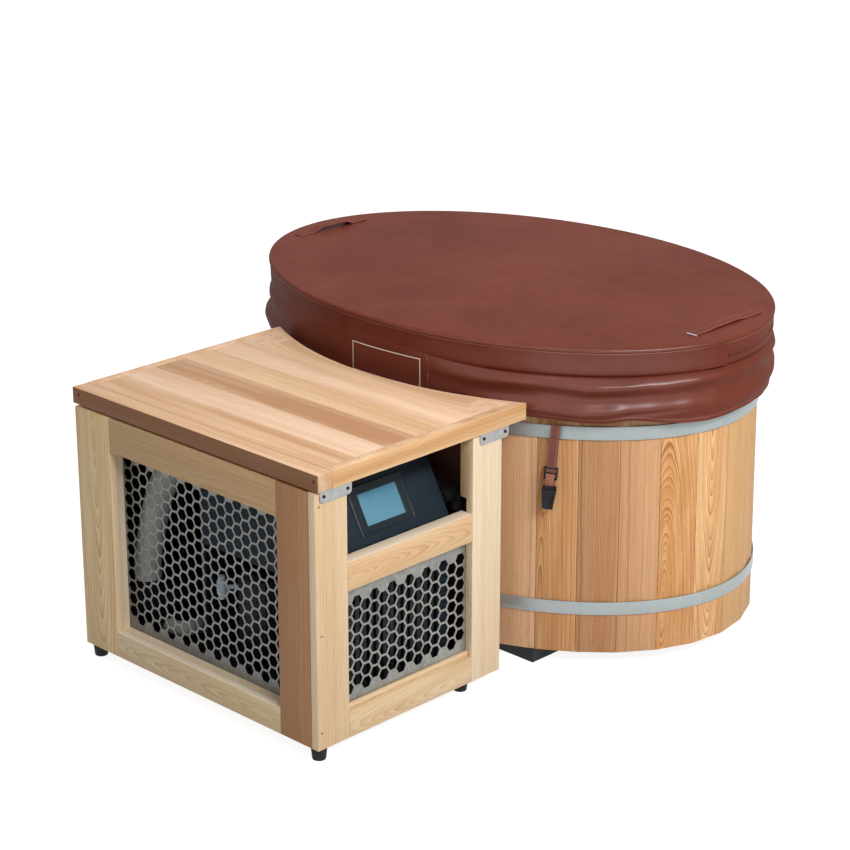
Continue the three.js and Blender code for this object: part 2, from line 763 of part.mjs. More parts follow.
// Water circuit: pump, valve, hoses and the two fittings in the tub's wall
function buildCircuit(wallFace) {
  const circuit = new THREE.Group();
  const pumpY = sideBack - pumpRadius - pumpWallGap;
  const pumpHeight = floorTop + fit + pumpFootHeight + pumpRadius;
  const voluteLeft = grilleBack + pumpGrilleGap;
  const voluteRight = voluteLeft + pumpThickness;
  const portX = (voluteLeft + voluteRight) / 2;
  const outletTop = pumpHeight + pumpRadius + pumpPortReach;
  const inletFront = pumpY - pumpRadius - pumpPortReach;
  const inletHeight = pumpHeight - pumpRadius / 2;
  const pump = join(
    barAlongX(pumpRadius, voluteLeft, voluteRight, pumpY, pumpHeight),
    barAlongX(pumpMotorRadius, voluteRight - overrun, voluteRight + pumpMotorLength, pumpY, pumpHeight),
    box(
      voluteLeft + pumpFootInset, voluteRight + pumpMotorLength - pumpFootInset,
      pumpY - pumpMotorRadius + pumpFootInset, pumpY + pumpMotorRadius - pumpFootInset,
      floorTop + fit, pumpHeight,
    ),
    barAlongZ(sleeveRadius, pumpHeight, outletTop, portX, pumpY),
    barAlongY(hoseRadius, inletFront, pumpY, portX, inletHeight),
  );
  addMesh(circuit, 'circulation_pump', pump, blackPaint);

  const valveX = casingRight + fit + valveReach;
  addValve(circuit, valveX);

  const supply = fittingGeometry();
  addMesh(circuit, 'supply_fitting', supply, blackPlastic).position.set(wallFace, tubY, valveHeight);
  const returned = fittingGeometry();
  addMesh(circuit, 'return_fitting', returned, blackPlastic).position.set(wallFace, tubY, returnHeight);

  const hoseEnd = wallFace - fit - fittingFlange - fittingStub - fit;
  const valveBack = valveSetBack + 2 * valveRadius + valveTail + fit;
  const supplyRoute = [
    [valveX, valveBack, valveHeight],
    [valveX, valveBack + 1.4 * hoseBend, valveHeight],
    [valveX, tubY - 2.6 * hoseBend, valveHeight],
    [valveX + 0.07 * hoseBend, tubY - 1.2 * hoseBend, valveHeight],
    [valveX + 0.43 * hoseBend, tubY - 0.33 * hoseBend, valveHeight],
    [valveX + hoseBend, tubY, valveHeight],
    [hoseEnd - hoseBend / 2, tubY, valveHeight],
    [hoseEnd, tubY, valveHeight],
  ];
  addMesh(circuit, 'supply_hose', hose(supplyRoute, hoseRadius, 18), greySleeve);
  const fall = returnHeight - inletHeight;
  const lane = casingBack + 0.58 * (inletFront - casingBack);
  const returnRoute = [
    [hoseEnd, tubY, returnHeight],
    [hoseEnd - hoseBend / 2, tubY, returnHeight],
    [valveX + hoseBend, tubY, returnHeight],
    [valveX + 0.43 * hoseBend, tubY + 0.29 * hoseBend, returnHeight],
    [valveX + 0.05 * hoseBend, tubY + 1.07 * hoseBend, returnHeight - 0.03 * fall],
    [valveX - 0.2 * hoseBend, lane - hoseBend, returnHeight - 0.18 * fall],
    [valveX - 1.2 * hoseBend, lane - 0.1 * hoseBend, returnHeight - 0.5 * fall],
    [portX + 4.3 * hoseBend, lane, inletHeight + 0.11 * fall],
    [portX + 1.4 * hoseBend, lane, inletHeight],
    [portX + 0.3 * hoseBend, lane + 0.3 * hoseBend, inletHeight],
    [portX, inletFront - 0.43 * hoseBend, inletHeight],
    [portX, inletFront - fit, inletHeight],
  ];
  addMesh(circuit, 'return_hose', hose(returnRoute, hoseRadius, 28), greySleeve);
  const casingPort = casingTop - 2.5 * sleeveRadius;
  const rise = casingPort - outletTop;
  const run = pumpY - casingBack;
  const climb = [
    [0, 0, 0.09],
    [-0.17, 0.13, 0.36],
    [-0.17, 0.36, 0.72],
    [0.33, 0.58, 0.93],
    [1.1, 0.77, 1],
    [1.25, 0.9, 1],
  ];
  const transferRoute = [
    [portX, pumpY, outletTop + fit],
    ...climb.map(([aside, back, up]) => [
      portX + aside * sleeveRadius,
      pumpY - back * run,
      outletTop + up * rise,
    ]),
    [portX + 1.25 * sleeveRadius, casingBack + fit, casingPort],
  ];
  addMesh(circuit, 'transfer_hose', hose(transferRoute, sleeveRadius, 18), greySleeve);
  return circuit;
}

// A quarter-turn valve on the casing's side, with its bar handle toward the front opening.
function addValve(circuit, valveX) {
  const middle = valveSetBack + valveRadius + valveNeck;
  const tailBack = valveSetBack + 2 * valveRadius + valveTail;
  const stemFront = valveSetBack;
  const body = join(
    barAlongX(valveRadius * 0.8, casingRight + fit, valveX, middle, valveHeight),
    barAlongY(valveRadius, middle - valveRadius, tailBack, valveX, valveHeight),
    barAlongY(valveRadius / 2, stemFront, middle, valveX, valveHeight),
  );
  addMesh(circuit, 'valve_body', body, blackPlastic);
  const half = handleLength / 2;
  const waist = handleWidth * 0.32;
  const bar = new THREE.Shape();
  bar.moveTo(-half, -handleWidth / 2);
  bar.quadraticCurveTo(0, -waist, half, -handleWidth / 2);
  bar.lineTo(half, handleWidth / 2);
  bar.quadraticCurveTo(0, waist, -half, handleWidth / 2);
  const grip = runAlongY(bar, -handleThickness, 0, 6);
  const hub = barAlongY(valveRadius * 0.7, -handleThickness, 0, 0, 0);
  const handle = addMesh(circuit, 'valve_handle', join(grip, hub), blackPlastic);
  handle.position.set(valveX, stemFront - fit, valveHeight);
  handle.rotation.y = -handleTurn;
}

// A bulkhead fitting along X: flange and stub outside the wall, thread through it and a nut inside.
function fittingGeometry() {
  const inner = staveThickness + fit;
  const stubEnd = -fit - fittingFlange - fittingStub;
  return join(
    barAlongX(hoseRadius, stubEnd, -fit - fittingFlange / 2, 0, 0),
    barAlongX(fittingFlangeRadius, -fit - fittingFlange, -fit, 0, 0),
    barAlongX(fittingThreadRadius, -fit - fittingFlange / 2, inner + fittingFlange / 2, 0, 0),
    barAlongX(fittingFlangeRadius, inner, inner + fittingFlange, 0, 0),
  );
}

// Corners of the staves: equal steps along the oval from the wider stave with the fittings, which faces the cabinet.
function staveCorners() {
  const samples = 3600;
  const angles = [];
  const lengths = [0];
  for (let i = 0; i <= samples; i += 1) {
    angles.push(-Math.PI + (i / samples) * 2 * Math.PI);
  }
  const place = (angle) => [tubHalfWidth * Math.cos(angle), tubHalfLength * Math.sin(angle)];
  for (let i = 1; i <= samples; i += 1) {
    const [x0, y0] = place(angles[i - 1]);
    const [x1, y1] = place(angles[i]);
    lengths.push(lengths[i - 1] + Math.hypot(x1 - x0, y1 - y0));
  }
  const step = (lengths[samples] - fittingStaveWidth) / (staveCount - 1);
  const corners = [];
  let at = 0;
  for (let i = 0; i < staveCount; i += 1) {
    const target = fittingStaveWidth / 2 + i * step;
    while (lengths[at + 1] < target) {
      at += 1;
    }
    const share = (target - lengths[at]) / (lengths[at + 1] - lengths[at]);
    corners.push(place(angles[at] + share * (angles[at + 1] - angles[at])));
  }
  return corners;
}

// Plan of neighbouring staves between two joints, with a small groove where they meet.
function staveShape(outer, inner, first, count) {
  const corner = (loop, i) => new THREE.Vector2(...loop[i % staveCount]);
  const along = (i) => corner(outer, i + 1).sub(corner(outer, i)).normalize();
  const inward = (i) => corner(inner, i).sub(corner(outer, i)).normalize();
  const points = [];
  for (let k = 0; k <= count; k += 1) {
    const i = first + k;
    const previous = along(i + staveCount - 1);
    const next = along(i);
    const joint = corner(outer, i);
    const root = joint.clone().addScaledVector(inward(i), staveGroove);
    if (k === 0) {
      points.push(root.addScaledVector(next, fit / 2));
    } else {
      points.push(joint.clone().addScaledVector(previous, -staveGroove));
    }
    if (k > 0) {
      points.push(k === count ? root.addScaledVector(previous, -fit / 2) : root);
    }
    if (k < count) {
      points.push(joint.clone().addScaledVector(next, staveGroove));
    }
  }
  for (let k = count; k >= 0; k -= 1) {
    const i = first + k;
    const point = corner(inner, i);
    if (k === count) {
      point.addScaledVector(along(i + staveCount - 1), -fit / 2);
    }
    if (k === 0) {
      point.addScaledVector(along(i), fit / 2);
    }
    points.push(point);
  }
  return new THREE.Shape(points);
}

// Tub: staves round a floor that is let into them, steel hoops and a plinth
function buildTub(corners) {
  const tub = new THREE.Group();
  const inner = offsetLoop(corners, -staveThickness);
  const floorBottom = staveBottom + tubFloorHeight;
  const floorLevel = floorBottom + tubFloorThickness;
  const crozeLoop = offsetLoop(corners, crozeDepth - staveThickness);
  const croze = raise(shapeFrom(crozeLoop), floorBottom - fit, floorLevel + fit);
  const staves = (first, count) => {
    const blank = raise(staveShape(corners, inner, first, count), staveBottom, rimHeight);
    return cut(blank, croze);
  };

  const holeRadius = fittingThreadRadius + fit;
  const holeEnd = -tubHalfWidth + 2 * staveThickness;
  const holes = [valveHeight, returnHeight].map(
    (z) => barAlongX(holeRadius, -tubHalfWidth - overrun, holeEnd, 0, z),
  );
  addMesh(tub, 'fitting_stave', cut(staves(staveCount - 1, 1), ...holes), staveCedar);
  const setStart = (set) => Math.round((set * (staveCount - 1)) / staveSets);
  for (let set = 0; set < staveSets; set += 1) {
    const count = setStart(set + 1) - setStart(set);
    addMesh(tub, `stave_set_${set + 1}`, staves(setStart(set), count), staveCedar);
  }

  const floorLoop = offsetLoop(crozeLoop, -fit);
  addMesh(tub, 'tub_floor', raise(shapeFrom(floorLoop), floorBottom, floorLevel), staveCedar);
  addMesh(tub, 'lower_hoop', hoopGeometry(corners, lowerHoopHeight), hoopSteel);
  addMesh(tub, 'upper_hoop', hoopGeometry(corners, upperHoopHeight), hoopSteel);

  const plinthSide = plinthWidth / 2;
  const plinthEnd = plinthLength / 2;
  const plinth = shapeFrom(rectangle(-plinthSide, plinthSide, -plinthEnd, plinthEnd));
  const clearWidth = plinthSide - plinthBar;
  const clearLength = plinthEnd - plinthBar;
  const clear = rectangle(-clearWidth, clearWidth, -clearLength, clearLength).reverse();
  plinth.holes.push(new THREE.Path(clear.map(([u, v]) => new THREE.Vector2(u, v))));
  addMesh(tub, 'plinth', raise(plinth, 0, plinthHeight), blackPaint);
  return tub;
}

// A flat band round the staves, bent at each joint.
function hoopGeometry(corners, height) {
  const band = shapeFrom(offsetLoop(corners, fit + hoopThickness));
  const inside = offsetLoop(corners, fit).reverse();
  band.holes.push(new THREE.Path(inside.map(([u, v]) => new THREE.Vector2(u, v))));
  return raise(band, height, height + hoopWidth);
}

// A point of the cover's oval, moved out from it by a distance.
function coverPoint(angle, offset, z) {
  const across = Math.cos(angle) / coverHalfWidth;
  const along = Math.sin(angle) / coverHalfLength;
  const normal = new THREE.Vector2(across, along).normalize();
  const x = coverHalfWidth * Math.cos(angle) + offset * normal.x;
  const y = coverHalfLength * Math.sin(angle) + offset * normal.y;
  return [x, y, z];
}

function coverRing(offset, height) {
  const ring = [];
  for (let i = 0; i < coverSteps; i += 1) {
    const angle = (i / coverSteps) * 2 * Math.PI;
    ring.push(coverPoint(angle, offset(angle), height(angle)));
  }
  return ring;
}

// The hem rises and falls in waves, and the cloth swells out in folds that fade toward its seam.
function hemHeight(angle) {
  const wave = hemLift * Math.cos(hemWaves * (angle - hemPeak)) + (hemLift / 2) * Math.cos(4 * angle);
  return skirtTop - skirtDrop + wave;
}

function foldSwell(angle) {
  const waves = foldDepth * (0.6 * Math.sin(7 * angle + 0.6) + 0.4 * Math.sin(12 * angle + 2.1));
  const away = turnBetween(angle, bulgeAngle) / bulgeSpread;
  return waves + sideBulge * Math.exp(-away * away);
}

function turnBetween(angle, other) {
  return Math.atan2(Math.sin(angle - other), Math.cos(angle - other));
}

// Toward the cabinet the cloth is drawn tight, so the crease under the pad closes there.
function slack(angle) {
  const away = turnBetween(angle, tightAngle) / tightSpread;
  return 1 - Math.exp(-(away ** 4));
}

// Cover: a padded top with a skirt hanging round the rim, two grips and the tie-down strap
function buildCover() {
  const cover = new THREE.Group();
  addMesh(cover, 'cover_pad', padGeometry(), maroonVinyl);
  addMesh(cover, 'cover_skirt', skirtGeometry(), maroonVinyl);
  const grips = {
    front_grip: [frontGripShift, gripInset - coverHalfLength, frontGripRise],
    back_grip: [backGripShift, coverHalfLength - gripInset, backGripRise],
  };
  for (const [name, [x, y, rise]] of Object.entries(grips)) {
    const grip = addMesh(cover, name, gripGeometry(rise), maroonVinyl);
    grip.position.set(x, y, crownHeight(x, y) + fit);
  }
  cover.add(buildStrap());
  return cover;
}

// Height of the crowned top over a place on the cover.
function crownHeight(x, y) {
  const share = (x / coverHalfWidth) ** 2 + (y / coverHalfLength) ** 2;
  return padTop + padCrown * Math.max(0, 1 - share);
}

function padGeometry() {
  const lip = padThickness * 0.07;
  const flat = (value) => () => value;
  const rings = [
    coverRing(flat(-padUnderInset), flat(padBottom)),
    coverRing(flat(-padSideDraw), flat(padBottom + lip)),
    coverRing(flat(-padSideDraw), flat(padTop - 4 * lip)),
    coverRing(flat(0), flat(padTop - 2 * lip)),
    coverRing(flat(0), flat(padTop - lip)),
    coverRing(flat(-lip), flat(padTop)),
  ];
  for (const share of [0.92, 0.72, 0.4]) {
    rings.push(coverRing(flat(0), flat(0)).map(([x, y]) => {
      const place = [x * share, y * share];
      return [...place, crownHeight(...place)];
    }));
  }
  return skin(rings, false);
}

function skirtGeometry() {
  const rows = [
    { share: 0, tight: -padUnderInset, loose: -padUnderInset, fold: 0 },
    { share: 0.12, tight: -padSideDraw, loose: -skirtCrease, fold: 0 },
    { share: 0.32, tight: -padSideDraw, loose: 0.4 * skirtBelly, fold: 0.5 },
    { share: 0.58, tight: -padSideDraw, loose: skirtBelly, fold: 1 },
    { share: 0.82, tight: -padSideDraw, loose: 0.4 * skirtBelly, fold: 1 },
    { share: 1, tight: -skirtTuck, loose: -skirtTuck, fold: 0.7 },
  ];
  const hang = (row, angle) => row.tight + slack(angle) * (row.loose - row.tight);
  const ring = (row, inset) => coverRing(
    (angle) => hang(row, angle) - inset + row.fold * foldSwell(angle),
    (angle) => skirtTop + row.share * (hemHeight(angle) - skirtTop),
  );
  const outside = rows.map((row) => ring(row, 0));
  const inside = rows.map((row) => ring(row, skirtThickness));
  return skin([...inside, ...outside.reverse()], true);
}

// A flat strap grip, sewn down at both ends and lifted between them.
function gripGeometry(rise) {
  const half = gripLength / 2;
  const foot = half - gripEnd;
  const flat = foot - gripRamp;
  const bend = foot - gripRamp / 2;
  const top = rise + gripThickness;
  const side = new THREE.Shape();
  side.moveTo(-half, 0);
  side.lineTo(-foot, 0);
  side.bezierCurveTo(-bend, 0, -bend, rise, -flat, rise);
  side.lineTo(flat, rise);
  side.bezierCurveTo(bend, rise, bend, 0, foot, 0);
  side.lineTo(half, 0);
  side.lineTo(half, gripThickness);
  side.lineTo(foot, gripThickness);
  side.bezierCurveTo(bend, gripThickness, bend, top, flat, top);
  side.lineTo(-flat, top);
  side.bezierCurveTo(-bend, top, -bend, gripThickness, -foot, gripThickness);
  side.lineTo(-half, gripThickness);
  return runAlongY(side, -gripWidth / 2, gripWidth / 2, 6);
}

// The strap hangs from the hem and carries a slide adjuster and one half of a side-release buckle.
function buildStrap() {
  const hang = new THREE.Group();
  const [x, y] = coverPoint(strapAngle, -strapSetIn, 0);
  hang.position.set(x, y, hemHeight(strapAngle) - fit);
  const facing = [Math.sin(strapAngle) / coverHalfLength, Math.cos(strapAngle) / coverHalfWidth];
  hang.rotation.z = Math.atan2(...facing);
  const lean = new THREE.Group();
  lean.rotation.x = -strapLean;
  hang.add(lean);
  const topDrop = Math.tan(strapLean) * (strapWidth / 2);
  const halfStrap = strapThickness / 2;
  const band = box(-halfStrap, halfStrap, -strapWidth / 2, strapWidth / 2, -strapLength, -topDrop);
  addMesh(lean, 'cover_strap', band, maroonVinyl);

  const sliderOuter = strapWidth / 2 + sliderEdge;
  const sliderTop = -strapLength + 2 * sliderHeight;
  const frame = box(
    -sliderThickness / 2, sliderThickness / 2,
    -sliderOuter, sliderOuter,
    sliderTop - sliderHeight, sliderTop,
  );
  const slot = box(
    -halfStrap - fit, halfStrap + fit, -strapWidth / 2 - fit, strapWidth / 2 + fit,
    sliderTop - sliderHeight - overrun, sliderTop + overrun,
  );
  addMesh(lean, 'strap_slider', cut(frame, slot), blackPlastic);

  const half = buckleWidth / 2;
  const top = -strapLength - fit;
  const neck = top - buckleHeight * 0.32;
  const low = top - buckleHeight;
  const outline = new THREE.Shape();
  outline.moveTo(-half * 0.7, top);
  outline.lineTo(-half * 0.62, neck);
  outline.lineTo(-half, neck - 2);
  outline.lineTo(-half, low + half * 0.7);
  outline.quadraticCurveTo(-half * 0.8, low, 0, low);
  outline.quadraticCurveTo(half * 0.8, low, half, low + half * 0.7);
  outline.lineTo(half, neck - 2);
  outline.lineTo(half * 0.62, neck);
  outline.lineTo(half * 0.7, top);
  const body = runAlongX(outline, -buckleThickness / 2, buckleThickness / 2, 6);
  addMesh(lean, 'strap_buckle', body, blackPlastic);
  return hang;
}

// The whole object, with the middle of its footprint at the origin
const corners = staveCorners();
const tubWall = tubX + corners[0][0];
const object = new THREE.Group();
object.add(buildCabinet(), buildLid(), buildChiller(), buildCircuit(tubWall));
const tub = buildTub(corners);
tub.position.set(tubX, tubY, 0);
const cover = buildCover();
cover.position.set(tubX, tubY, 0);
object.add(tub, cover);
object.updateMatrixWorld(true);
const extent = new THREE.Box3().setFromObject(object);
const middle = extent.getCenter(new THREE.Vector3());
object.position.set(-middle.x, -middle.y, -extent.min.z);

export default object;
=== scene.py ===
# %% [markdown]
# # Cold plunge tub
# An oval tub of upright cedar staves stands beside a timber cabinet that cools its water. The solids are already
# made and packed, so this lesson only dresses them: boards get their grain, metal its zinc bloom, and the padded
# cover its cloth. Everything is in metres and in the solids' own frame, with Z up.

# %% Load the solids
import json
import math

import bpy
import numpy as np
from mathutils import Matrix, Vector


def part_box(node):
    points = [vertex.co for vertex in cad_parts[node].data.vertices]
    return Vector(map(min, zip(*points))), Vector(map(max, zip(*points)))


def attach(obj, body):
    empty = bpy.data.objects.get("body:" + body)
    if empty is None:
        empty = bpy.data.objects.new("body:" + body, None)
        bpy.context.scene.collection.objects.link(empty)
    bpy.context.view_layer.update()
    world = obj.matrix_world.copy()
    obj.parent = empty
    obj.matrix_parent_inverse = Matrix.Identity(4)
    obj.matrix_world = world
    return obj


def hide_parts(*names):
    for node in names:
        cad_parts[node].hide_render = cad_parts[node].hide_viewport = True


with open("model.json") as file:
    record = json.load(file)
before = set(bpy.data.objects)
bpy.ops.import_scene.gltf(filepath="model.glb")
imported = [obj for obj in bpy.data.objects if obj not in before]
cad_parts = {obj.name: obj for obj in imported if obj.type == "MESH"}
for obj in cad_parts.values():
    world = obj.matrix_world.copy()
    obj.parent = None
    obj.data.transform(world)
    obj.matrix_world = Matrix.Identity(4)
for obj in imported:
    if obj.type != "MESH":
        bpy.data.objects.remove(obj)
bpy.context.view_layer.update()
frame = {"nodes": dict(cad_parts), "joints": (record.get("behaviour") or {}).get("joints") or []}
nodes = frame["nodes"]
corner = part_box("front_left_stile")[0]
cabinet = Vector((corner.x, corner.y, 0))
plinth_low, plinth_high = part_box("plinth")
tub = Vector(((plinth_low.x + plinth_high.x) / 2, (plinth_low.y + plinth_high.y) / 2, 0))


def at(x, y, z):
    """A place in millimetres from the cabinet's front left corner on the floor, as a point in the frame."""
    return cabinet + Vector((x, y, z)) / 1000


# %% [markdown]
# ## The camera
# The picture was taken from the cabinet's front left corner, a little above it, with a long lens. A camera could be
# placed by eye, but this place and lens were worked out from the cabinet's straight edges and the tub's ovals, so
# that every edge lands where the picture has it.

# %% Place the camera
bpy.ops.object.select_all(action="DESELECT")
bpy.ops.object.camera_add(
    location=at(-2961.2, -3198.3, 2306.6),
    rotation=(math.radians(70.153), 0, math.radians(-45.634)),
)
camera = bpy.context.object
camera.data.sensor_width = 36
camera.data.lens = 101.66
bpy.context.scene.camera = camera
bpy.context.scene.view_settings.view_transform = "Standard"
print("camera at", [round(v, 2) for v in camera.location])

# %% [markdown]
# ## Working with shader nodes
# A finish is a small network of nodes. Placing each node by hand in the editor and writing it in full are the same
# work, so these helpers add a node, feed its sockets with a number, a colour or another socket, and start a group.

# %% Node helpers


def feed(tree, socket, value):
    """Links a socket to another, or sets its number, colour or vector."""
    if isinstance(value, bpy.types.NodeSocket):
        tree.links.new(value, socket)
    elif socket.type == "RGBA" and len(value) == 3:
        socket.default_value = (*value, 1)
    else:
        socket.default_value = value


def add(tree, kind, inputs=None, **settings):
    """Adds a node with its settings and feeds its inputs by name or number."""
    made = tree.nodes.new(kind)
    for key, value in settings.items():
        setattr(made, key, value)
    for key, value in (inputs or {}).items():
        feed(tree, made.inputs[key], value)
    return made


def calc(tree, operation, *values):
    """One step of arithmetic; gives its output."""
    return add(tree, "ShaderNodeMath", dict(enumerate(values)), operation=operation).outputs[0]


def stretch(tree, vector, scale):
    """A vector with each part multiplied."""
    made = add(tree, "ShaderNodeVectorMath", {0: vector, 1: scale}, operation="MULTIPLY")
    return made.outputs["Vector"]


def fit(tree, value, low, high, first=0.0, last=1.0):
    """Maps a value from one range to another and keeps it inside."""
    made = add(tree, "ShaderNodeMapRange", {0: value, 1: low, 2: high, 3: first, 4: last}, clamp=True)
    return made.outputs["Result"]


def noise(tree, vector, scale, detail=2.0, output="Fac"):
    """Soft noise over a vector."""
    made = add(tree, "ShaderNodeTexNoise", {"Vector": vector, "Scale": scale, "Detail": detail})
    return made.outputs[output]


def blend(tree, share, first, second, kind="MIX"):
    """A mix of two colours."""
    made = add(tree, "ShaderNodeMix", {0: share, 6: first, 7: second}, data_type="RGBA", blend_type=kind)
    return made.outputs[2]


def start_group(name, takes, gives):
    """A new node group; takes holds (name, kind, value) and gives holds (name, kind)."""
    group = bpy.data.node_groups.new(name, "ShaderNodeTree")
    for label, kind, value in takes:
        socket = group.interface.new_socket(label, in_out="INPUT", socket_type=kind)
        if value is not None:
            socket.default_value = value
    for label, kind in gives:
        group.interface.new_socket(label, in_out="OUTPUT", socket_type=kind)
    return group, group.nodes.new("NodeGroupInput").outputs, group.nodes.new("NodeGroupOutput").inputs


def use_group(tree, group, **inputs):
    """Places a group in a material, with its inputs named by words joined with _."""
    made = add(tree, "ShaderNodeGroup", node_tree=group)
    for key, value in inputs.items():
        feed(tree, made.inputs[key.replace("_", " ").title()], value)
    return made.outputs


def start_finish(name, roughness=0.5, metallic=0.0, **constants):
    """A new material; gives it with its tree and its Principled shader."""
    made = bpy.data.materials.new(name)
    made.use_nodes = True
    shader = made.node_tree.nodes["Principled BSDF"]
    shader.inputs["Roughness"].default_value = roughness
    shader.inputs["Metallic"].default_value = metallic
    for key, value in constants.items():
        label = key.replace("_", " ").title().replace("Ior", "IOR")
        shader.inputs[label].default_value = value
    return made, made.node_tree, shader


def bump(tree, shader, height, strength, distance):
    """Raises a surface by a height in nodes."""
    made = add(tree, "ShaderNodeBump", {"Height": height, "Strength": strength, "Distance": distance})
    tree.links.new(made.outputs[0], shader.inputs["Normal"])


print("node helpers ready")

# %% [markdown]
# ## Light, floor and background
# A studio would use a wide soft lamp in front and a larger one overhead, with white walls to fill the shade. So there
# are two area lamps and a pale world. The front lamp is a long low strip, which draws long highlights on the vinyl's
# folds. The camera sees the floor and the world as white, and the floor still takes the object's shadow, because part
# of its brightness is reflected light.

# %% Hang the lamps


def hang_lamp(name, place, target, width, height, power):
    """A soft lamp of a given size that faces a target."""
    bpy.ops.object.light_add(type="AREA", location=place)
    lamp = bpy.context.object
    lamp.name = name
    lamp.data.shape = "RECTANGLE"
    lamp.data.size, lamp.data.size_y = width, height
    lamp.data.energy = power
    lamp.rotation_euler = (Vector(target) - Vector(place)).to_track_quat("-Z", "Y").to_euler()
    return lamp


front_lamp = hang_lamp("front_lamp", (-1.0, -4.9, 4.4), (0, 0, 0.4), 4.4, 0.8, 282)
overhead_lamp = hang_lamp("overhead_lamp", (0.1, 0.3, 6.0), (0, 0, 0.4), 3.0, 3.0, 125)
print("lamps:", front_lamp.name, overhead_lamp.name)

# %% Light the world


def seen_directly(tree):
    """1 for what the camera sees itself, in a mirror or through glass."""
    paths = add(tree, "ShaderNodeLightPath").outputs
    mirrored = calc(tree, "MAXIMUM", paths["Is Glossy Ray"], paths["Is Transmission Ray"])
    return calc(tree, "MAXIMUM", paths["Is Camera Ray"], mirrored)


world = bpy.data.worlds.new("studio")
bpy.context.scene.world = world
world.use_nodes = True
sky = world.node_tree
sky.nodes.clear()
sky_light = add(sky, "ShaderNodeBackground", {"Color": (1, 1, 1), "Strength": 0.34}).outputs[0]
sky_seen = add(sky, "ShaderNodeBackground", {"Color": (1, 1, 1), "Strength": 1.0}).outputs[0]
sky_mix = add(sky, "ShaderNodeMixShader", {0: seen_directly(sky), 1: sky_light, 2: sky_seen}).outputs[0]
add(sky, "ShaderNodeOutputWorld", {"Surface": sky_mix})
print("world:", world.name)

# %% Lay the floor
bpy.ops.mesh.primitive_plane_add(size=60, location=(0, 0, 0))
floor = bpy.context.object
floor.name = "studio_floor"
floor_look = bpy.data.materials.new("studio_floor")
floor_look.use_nodes = True
ground = floor_look.node_tree
ground.nodes.clear()
bounce = add(ground, "ShaderNodeBsdfDiffuse", {"Color": (0.65, 0.65, 0.65)}).outputs[0]
shadow = add(ground, "ShaderNodeBsdfDiffuse", {"Color": (0.3, 0.3, 0.3)}).outputs[0]
whiteness = add(ground, "ShaderNodeEmission", {"Strength": 0.90}).outputs[0]
seen = add(ground, "ShaderNodeAddShader", {0: shadow, 1: whiteness}).outputs[0]
ground_mix = add(ground, "ShaderNodeMixShader", {0: seen_directly(ground), 1: bounce, 2: seen}).outputs[0]
add(ground, "ShaderNodeOutputMaterial", {"Surface": ground_mix})
floor.data.materials.append(floor_look)
print("floor:", floor.name)

# %% [markdown]
# ## The grain of cedar
# A board is a slice of a log, so its figure is where the yearly rings meet its faces. A flat picture of grain would
# break at each edge. Here the rings are cylinders round the log's pith, and every board says where its own pith lies,
# so faces, edges and end grain agree. Near the pith the face shows pointed arches, and far from it straight lines.

# %% Build the cedar grain group
cedar_grain, taken, given = start_group(
    "cedar_grain",
    [
        ("Place", "NodeSocketVector", None),
        ("Ring Width", "NodeSocketFloat", 0.004),
        ("Wander", "NodeSocketFloat", 0.012),
    ],
    [("Ring", "NodeSocketFloat"), ("Fibre", "NodeSocketFloat"), ("Streak", "NodeSocketFloat")],
)
drift = noise(cedar_grain, stretch(cedar_grain, taken["Place"], (2.2, 7, 7)), 1.0, 2, "Color")
drift = add(cedar_grain, "ShaderNodeVectorMath", {0: drift, 1: (0.5, 0.5, 0.5)}, operation="SUBTRACT").outputs[0]
reach = add(cedar_grain, "ShaderNodeCombineXYZ", {1: taken["Wander"], 2: taken["Wander"]}).outputs[0]
drift = add(cedar_grain, "ShaderNodeVectorMath", {0: drift, 1: reach}, operation="MULTIPLY").outputs[0]
moved = add(cedar_grain, "ShaderNodeVectorMath", {0: taken["Place"], 1: drift}, operation="ADD").outputs[0]
waves = noise(cedar_grain, stretch(cedar_grain, taken["Place"], (30, 16, 16)), 1.0, 1, "Color")
waves = add(cedar_grain, "ShaderNodeVectorMath", {0: waves, 1: (0.5, 0.5, 0.5)}, operation="SUBTRACT").outputs[0]
waves = stretch(cedar_grain, waves, (0, 0.004, 0.004))
moved = add(cedar_grain, "ShaderNodeVectorMath", {0: moved, 1: waves}, operation="ADD").outputs[0]
section = stretch(cedar_grain, moved, (0, 1, 1))
radius = add(cedar_grain, "ShaderNodeVectorMath", {0: section}, operation="LENGTH").outputs["Value"]
uneven = add(
    cedar_grain, "ShaderNodeTexNoise",
    {"W": calc(cedar_grain, "MULTIPLY", radius, 110.0), "Scale": 1.0, "Detail": 1.0},
    noise_dimensions="1D",
).outputs["Fac"]
years = calc(cedar_grain, "DIVIDE", radius, taken["Ring Width"])
years = calc(cedar_grain, "ADD", years, calc(cedar_grain, "MULTIPLY", uneven, 1.6))
season = add(cedar_grain, "ShaderNodeValToRGB", {"Fac": calc(cedar_grain, "FRACT", years)})
season.color_ramp.elements[0].position = 0.0
season.color_ramp.elements[0].color = (0, 0, 0, 1)
season.color_ramp.elements[1].position = 1.0
season.color_ramp.elements[1].color = (0.04, 0.04, 0.04, 1)
for place, shade in ((0.45, 0.12), (0.78, 0.55), (0.93, 1.0)):
    season.color_ramp.elements.new(place).color = (shade, shade, shade, 1)
feed(cedar_grain, given["Ring"], season.outputs["Color"])
thread = noise(cedar_grain, stretch(cedar_grain, moved, (12, 380, 380)), 1.0, 2)
feed(cedar_grain, given["Fibre"], fit(cedar_grain, thread, 0.36, 0.72))
band = noise(cedar_grain, stretch(cedar_grain, moved, (1.1, 24, 24)), 1.0, 3)
feed(cedar_grain, given["Streak"], fit(cedar_grain, band, 0.34, 0.68))
print("group:", cedar_grain.name)

